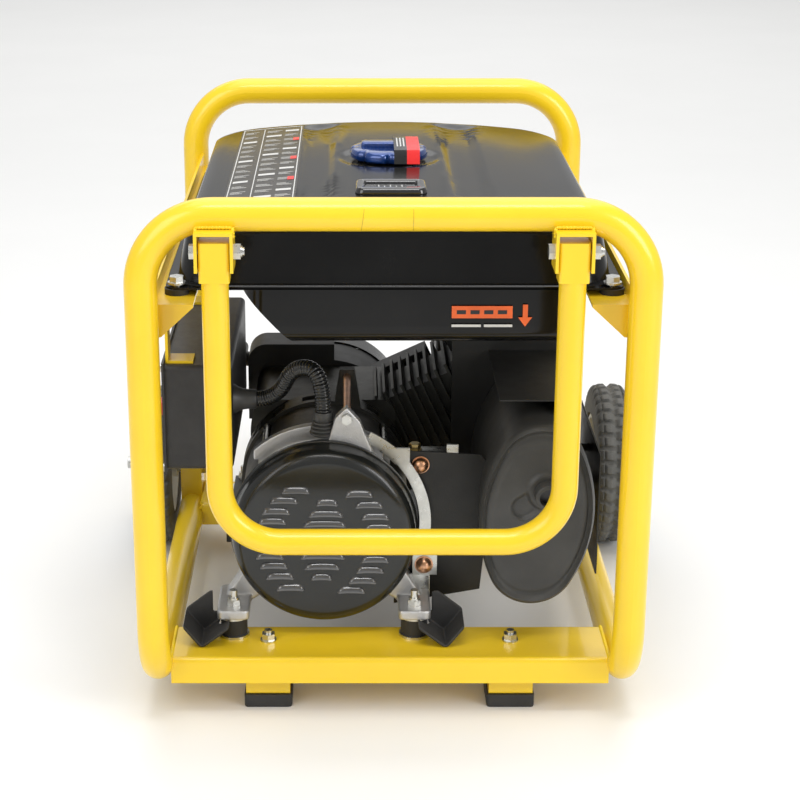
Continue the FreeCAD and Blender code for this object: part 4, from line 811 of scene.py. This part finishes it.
def tyre(side, name, node_name, body):
    """Carcass with a centre line and two rows of blocks that wrap the shoulders."""
    half, r0 = WHEEL["width"] / 2, WHEEL["radius"]
    turns, steps, blocks = 432, 34, 36
    verts, faces = [], []
    for i in range(turns):
        a = 2 * math.pi * i / turns
        for k in range(steps + 1):
            t = -1 + 2 * k / steps
            # round shoulders: a superellipse section from bead to bead
            w = math.sin(t * math.pi / 2)
            x = half * math.copysign(abs(w) ** 0.85, w) * 0.985
            fall = 1 - (1 - abs(t) ** 3.2) ** 0.55 if abs(t) < 1 else 1.0
            r = lerp(r0 - 4.2, 64.0, fall)
            shoulder = smooth_step((0.80 - abs(t)) / 0.06)
            phase = blocks * a / (2 * math.pi) + (0.5 if t > 0 else 0.0) + 0.25 * abs(t)
            cut = abs((phase % 1.0) - 0.5) * 2
            knob = smooth_step((0.74 - cut) / 0.12)
            centre = smooth_step((abs(t) - 0.045) / 0.03)
            split = 1 - 0.75 * math.exp(-((abs(t) - 0.40) / 0.035) ** 2)
            lift = 4.2 * knob * centre * split * shoulder
            r = min(r0, r + lift)
            verts.append(pt(side * WHEEL["x"] + x, WHEEL["y"] + r * math.cos(a),
                            max(0.0, WHEEL["z"] + r * math.sin(a))))
    n = steps + 1
    for i in range(turns):
        j = (i + 1) % turns
        for k in range(steps):
            faces.append((i * n + k, j * n + k, j * n + k + 1, i * n + k + 1))
        faces.append((i * n + steps, j * n + steps, j * n, i * n))
    obj = add_mesh(name, verts, faces, "tyre", body, hard=55)
    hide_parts(node_name)


tyre(1, "right_tyre_treaded", "right_tyre", "right_wheel")
tyre(-1, "left_tyre_treaded", "left_tyre", "left_wheel")


# ------------------------------------------------------------------ cast and moulded pieces
def softened(name, node_name, mat, body, voxel=0.9, rounds=6, keep=0.35):
    """Copy of a CAD node with its edges rounded over, as a casting or moulding has."""
    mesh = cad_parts[node_name].data.copy()
    mesh.materials.clear()
    mesh.materials.append(M[mat])
    obj = bpy.data.objects.new(name, mesh)
    bpy.context.scene.collection.objects.link(obj)
    remesh = obj.modifiers.new("remesh", "REMESH")
    remesh.mode = "VOXEL"
    remesh.voxel_size = voxel / 1000
    even_out = obj.modifiers.new("smooth", "SMOOTH")
    even_out.factor = 0.5
    even_out.iterations = rounds
    thin = obj.modifiers.new("thin", "DECIMATE")
    thin.ratio = keep
    graph = bpy.context.evaluated_depsgraph_get()
    baked = bpy.data.meshes.new_from_object(obj.evaluated_get(graph))
    obj.modifiers.clear()
    obj.data = baked
    baked.polygons.foreach_set("use_smooth", [True] * len(baked.polygons))
    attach(obj, body)
    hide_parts(node_name)
    return obj


softened("end_bracket_cast", "alternator_end_bracket", "alu", "chassis",
         1.1, 7)
softened("mount_hoods_rubber", "mount_hoods", "rubber", "chassis", 0.7, 8)
softened("rubber_feet_moulded", "rubber_feet", "rubber", "chassis", 1.0, 4)
softened("recoil_grip_moulded", "recoil_grip", "plastic", "starter_grip", 0.8, 5)
softened("dipstick_moulded", "dipstick", "plastic", "oil_dipstick", 0.5, 3)
softened("plug_cap_moulded", "spark_plug_cap", "rubber", "chassis", 0.7, 5)


# ------------------------------------------------------------------ printed patches on the bowl
def face_print():
    """Plain orange patch with a dark outline, two pale rules and a down arrow; no wording."""
    front = 60.6

    def card(x0, x1, z0, z1, lift):
        verts = [pt(x0, front - lift, z0), pt(x1, front - lift, z0), pt(x1, front - lift, z1),
                 pt(x0, front - lift, z1)]
        return verts, [(0, 1, 2, 3)]

    patch = merge("face_patch", [card(59, 119, 421, 433.5, 0.9)], "orange", hard=30)
    bars = [card(64 + 13.5 * k, 73 + 13.5 * k, 425.2, 429.3, 1.1) for k in range(4)]
    rule = merge("face_patch_bars", bars, "label", hard=30)
    pale = merge("face_rules", [card(59, 88, 412.0, 414.6, 0.9), card(91, 119, 412.0, 414.6, 0.9)],
                 "white", hard=30)
    shaft = card(129, 134, 422, 435, 0.9)
    tip = [pt(124.5, front - 0.9, 422), pt(138.5, front - 0.9, 422), pt(131.5, front - 0.9, 412.5)]
    arrow = merge("face_arrow", [shaft, (tip, [(0, 1, 2)])], "orange", hard=30)


face_print()


# ------------------------------------------------------------------ weld beads
def bead(points, r, pitch=3.2):
    """Rippled weld along a line of points, mm."""
    line = even([pt(*p) for p in points], 0.0005)

    def ripple(s):
        return r * (0.86 + 0.14 * math.cos(2 * math.pi * s / pitch))

    return sweep(line, ripple, 12)


def welds():
    """Beads round the handle clips under the front hoop and along the cross members' ends."""
    beads = []
    for side in (-1, 1):
        x = side * 168.0
        for dx in (-17.5, 17.5):
            beads.append(bead([(x + dx, -13.5, 531.5), (x + dx, -14.5, 526.0),
                               (x + dx, -15.6, 521.0)], 2.0))
        beads.append(bead([(x - 17, -13.6, 530.6), (x + 17, -13.6, 530.6)], 2.0))
        for y in (25.0, 105.0, 450.0, 530.0):
            end = y + (1.5 if y in (25.0, 450.0) else -1.5)
            beads.append(bead([(side * 224.5, end, 62.5), (side * 228.5, end, 58.0)], 2.2))
        beads.append(bead([(side * 225.8, 27, 65.2), (side * 225.8, 103, 65.2)], 2.2))
        beads.append(bead([(side * 225.8, 452, 65.2), (side * 225.8, 528, 65.2)], 2.2))
    weld = merge("weld_beads", beads, "weld", hard=80)


welds()


# ------------------------------------------------------------------ small hardware
def screws(name, places, axis, across, height, mat, washer=0.0, body="chassis"):
    """Hexagon heads on a face; washer is the washer's radius, mm."""
    parts = []
    for place in places:
        parts.append(hexhead(place, axis, across, height))
        if washer > 0:
            parts.append(lathe([(0, 0), (washer, 0), (washer, 1.0), (0, 1.0)], place, axis, 32))
    obj = merge(name, parts, mat, body, hard=30)


def domes(name, places, axis, radius, height, mat):
    """Round-headed bolts."""
    parts = []
    for place in places:
        prof = [(radius * 1.12, 0.0), (radius * 1.12, 1.2), (radius, 1.3)]
        for k in range(1, 9):
            a = math.radians(90 * k / 8)
            prof.append((radius * math.cos(a), 1.3 + (height - 1.3) * math.sin(a)))
        parts.append(lathe(prof, place, axis, 36))
    obj = merge(name, parts, mat, hard=45)


domes("plate_bolt_head", [(33, 130.2, 240)], (0, -1, 0), 8.4, 9.6, "copper")
domes("stay_bolt_head", [(37.4, 122.1, 129)], (0, -1, 0), 8.8, 9.5, "copper")
screws("stay_lug_bolt", [(24, 122.4, 101)], (0, -1, 0), 11, 4.6, "passivated", 7.5)
stay_lug = merge("stay_lug", [block(12, 44, 122.4, 124.8, 84, 118, 1.0)], "zinc", hard=35)
sleeve_run = [pt(-44.6, y, 299) for y in (137, 190, 246)]
bolt_sleeve = merge("top_bolt_sleeve", [sweep(sleeve_run, 4.1, 24)], "copper", hard=60)
screws("flange_bolt", [(27, 142, 252.8)], (0, 0, 1), 11, 7, "passivated", 7.5)
PLATE_LIP = [block(24, 62, 131, 151, 250.2, 252.8, 0.6), block(60, 73, 131, 134, 246, 262, 0.6)]
plate_lip = merge("plate_lip", PLATE_LIP, "zinc", hard=35)


def seam_marks():
    """Two fine joints in the paint round the front hoop's top tube."""
    parts = []
    for x, lean in ((-29.0, 2.0), (18.0, 0.0)):
        line = []
        for k in range(29):
            a = math.radians(lerp(150, 330, k / 28))
            y, z = 16.05 * math.cos(a), 16.05 * math.sin(a)
            line.append(pt(x + lean * (z / 16), y, 540 + z))
        parts.append(sweep(line, 0.22, 6))
    marks = merge("hoop_seam_marks", parts, "seam", hard=60)


seam_marks()


# ------------------------------------------------------------------ side and rear detail
def panel_print():
    """Screws at the panel's corners and pale outlines round its fittings, with no wording."""
    corners = [(-238.5, y, z) for y in (153.0, 417.0) for z in (228.0, 340.0)]
    screws("panel_screws", corners, (-1, 0, 0), 6.5, 2.4, "zinc", 5.0)
    face = -238.7

    def frame_lines(y0, y1, z0, z1, w=0.9):
        bars = ((y0, y1, z0, z0 + w), (y0, y1, z1 - w, z1), (y0, y0 + w, z0, z1),
                (y1 - w, y1, z0, z1))
        parts = []
        for a, b, c, d in bars:
            verts = [pt(face, a, c), pt(face, b, c), pt(face, b, d), pt(face, a, d)]
            parts.append((verts, [(0, 1, 2, 3)]))
        return parts

    lines = []
    for y0, y1 in ((224, 276), (176, 218), (330, 370), (384, 410)):
        lines += frame_lines(y0, y1, 236, 338)
    for k in range(6):
        z = 246 + 15 * k
        verts = [pt(face, 389, z), pt(face, 405, z), pt(face, 405, z + 2.2), pt(face, 389, z + 2.2)]
        lines.append((verts, [(0, 1, 2, 3)]))
    printed = merge("panel_print", lines, "white", smooth=False, hard=None)


panel_print()


def air_filter_detail():
    """Moulded ribs, wing knob and two wire clips on the air filter's cover."""
    ribs = [block(80, 186, 546.5, 549.8, z - 2.0, z + 2.0, 1.4) for z in (244, 258, 316, 330)]
    knob = lathe([(0, 8.4), (7.4, 8.4), (9.2, 7.0), (9.6, 1.0), (12.4, 0.6), (12.4, -0.4)],
                 (133, 548, 287), (0, 1, 0), 48)
    wings = [block(119, 147, 553, 560, 285, 289, 1.6)]
    moulded = merge("air_filter_ribs", ribs + [knob] + wings, "plastic", hard=40)
    clips = []
    for x in (60.0, 206.0):
        side = -1 if x < 100 else 1
        outer = x + side * 2.2
        route = [(x - side * 3, 549.4, 280), (outer, 549.0, 287), (outer, 530, 287),
                 (outer, 500, 287), (x - side * 1.0, 498, 287)]
        clips.append(sweep(even([pt(*p) for p in route], 0.002), 1.1, 10))
    wire = merge("air_filter_clips", clips, "zinc", hard=60)


air_filter_detail()


def shield_detail():
    """Pressed ribs and screws on the outboard heat shield."""
    ribs = [block(218.4, 221.4, 118, 282, z - 3.5, z + 3.5, 1.4) for z in (146, 166, 218, 250)]
    pressed = merge("shield_ribs", ribs, "shade", hard=40)
    screws("shield_screws", [(219, 190, 184), (219, 190, 234)], (1, 0, 0), 8, 3.5, "zinc",
           7)


shield_detail()


def recoil_detail():
    """Flange screws and a plain centre disc on the recoil housing."""
    places = []
    for a in (40, 130, 220, 310):
        r = math.radians(a)
        places.append((CRANK[0] + 86 * math.cos(r), 521.6, CRANK[1] + 86 * math.sin(r)))
    screws("recoil_screws", places, (0, 1, 0), 8, 3.2, "zinc")
    disc = lathe([(0, 1.6), (22, 1.6), (24, 1.0), (25, 0.0), (25, -0.5)],
                 (CRANK[0], 521.8, CRANK[1]), (0, 1, 0), 64)
    centre = merge("recoil_centre", [disc], "gloss", hard=40)


recoil_detail()


# ------------------------------------------------------------------ floor, light and camera
LAMPS = (
    # name, place, target, width, power, length
    ("top_light", (0.1, 0.3, 2.6), (0, 0, 0.3), 2.2, 28, 2.2),
    ("front_left", (-1.7, -1.9, 1.6), (0, 0, 0.3), 1.4, 22, 1.8),
    ("front_right", (1.9, -1.6, 1.3), (0, 0, 0.3), 0.9, 26, 1.5),
    ("high_front", (0.0, -1.05, 2.5), (0, -0.25, 0.3), 1.3, 16, 0.45),
    ("back_light", (0, 4.5, 3.0), (0, 4.5, 0), 5.0, 80, 5.0),
)
WORLD_STRENGTH = 0.50
CAMERA_PLACE = (-0.0402, -2.0632, 0.9483)
CAMERA_DOWN = 18.905                 # degrees below level
CAMERA_LENS = 85.0
CAMERA_SHIFT = 0.0612


def floor_sheet():
    """Wide pale floor."""
    pale = finish_mat("pale_floor", (0.90, 0.90, 0.89), 0.6, spread=0.008, scale=2.0)
    mesh = bpy.data.meshes.new("floor")
    reach, turns = 30.0, 96
    rim = []
    for k in range(turns):
        a = 2 * math.pi * k / turns
        rim.append((reach * math.cos(a), reach * math.sin(a), 0.0))
    mesh.from_pydata(rim, [], [tuple(range(turns))])
    mesh.materials.append(pale)
    obj = bpy.data.objects.new("floor", mesh)
    bpy.context.scene.collection.objects.link(obj)
    return obj


def lamp(name, place, target, size, power, size_y):
    """Soft rectangular light aimed at a point, metres and watts."""
    data = bpy.data.lights.new(name, "AREA")
    data.shape = "RECTANGLE"
    data.size = size
    data.size_y = size_y
    data.energy = power
    obj = bpy.data.objects.new(name, data)
    obj.location = place
    obj.rotation_euler = (Vector(target) - Vector(place)).to_track_quat("-Z", "Y").to_euler()
    bpy.context.scene.collection.objects.link(obj)
    return obj


def set_world():
    """Even white surroundings."""
    world = bpy.data.worlds.new("studio")
    world.use_nodes = True
    background = world.node_tree.nodes["Background"]
    background.inputs["Color"].default_value = (1.0, 1.0, 1.0, 1)
    background.inputs["Strength"].default_value = WORLD_STRENGTH
    bpy.context.scene.world = world


def set_camera():
    """Long lens from a little above, square on to the cover end."""
    data = bpy.data.cameras.new("camera")
    data.sensor_width = 36.0
    data.lens = CAMERA_LENS
    data.shift_x = CAMERA_SHIFT
    obj = bpy.data.objects.new("camera", data)
    obj.location = CAMERA_PLACE
    obj.rotation_euler = (math.radians(90 - CAMERA_DOWN), 0.0, 0.0)
    bpy.context.scene.collection.objects.link(obj)
    bpy.context.scene.camera = obj


stage = [floor_sheet()]
for light in LAMPS:
    stage.append(lamp(*light))
set_world()
set_camera()
bpy.context.scene.view_settings.view_transform = "Standard"
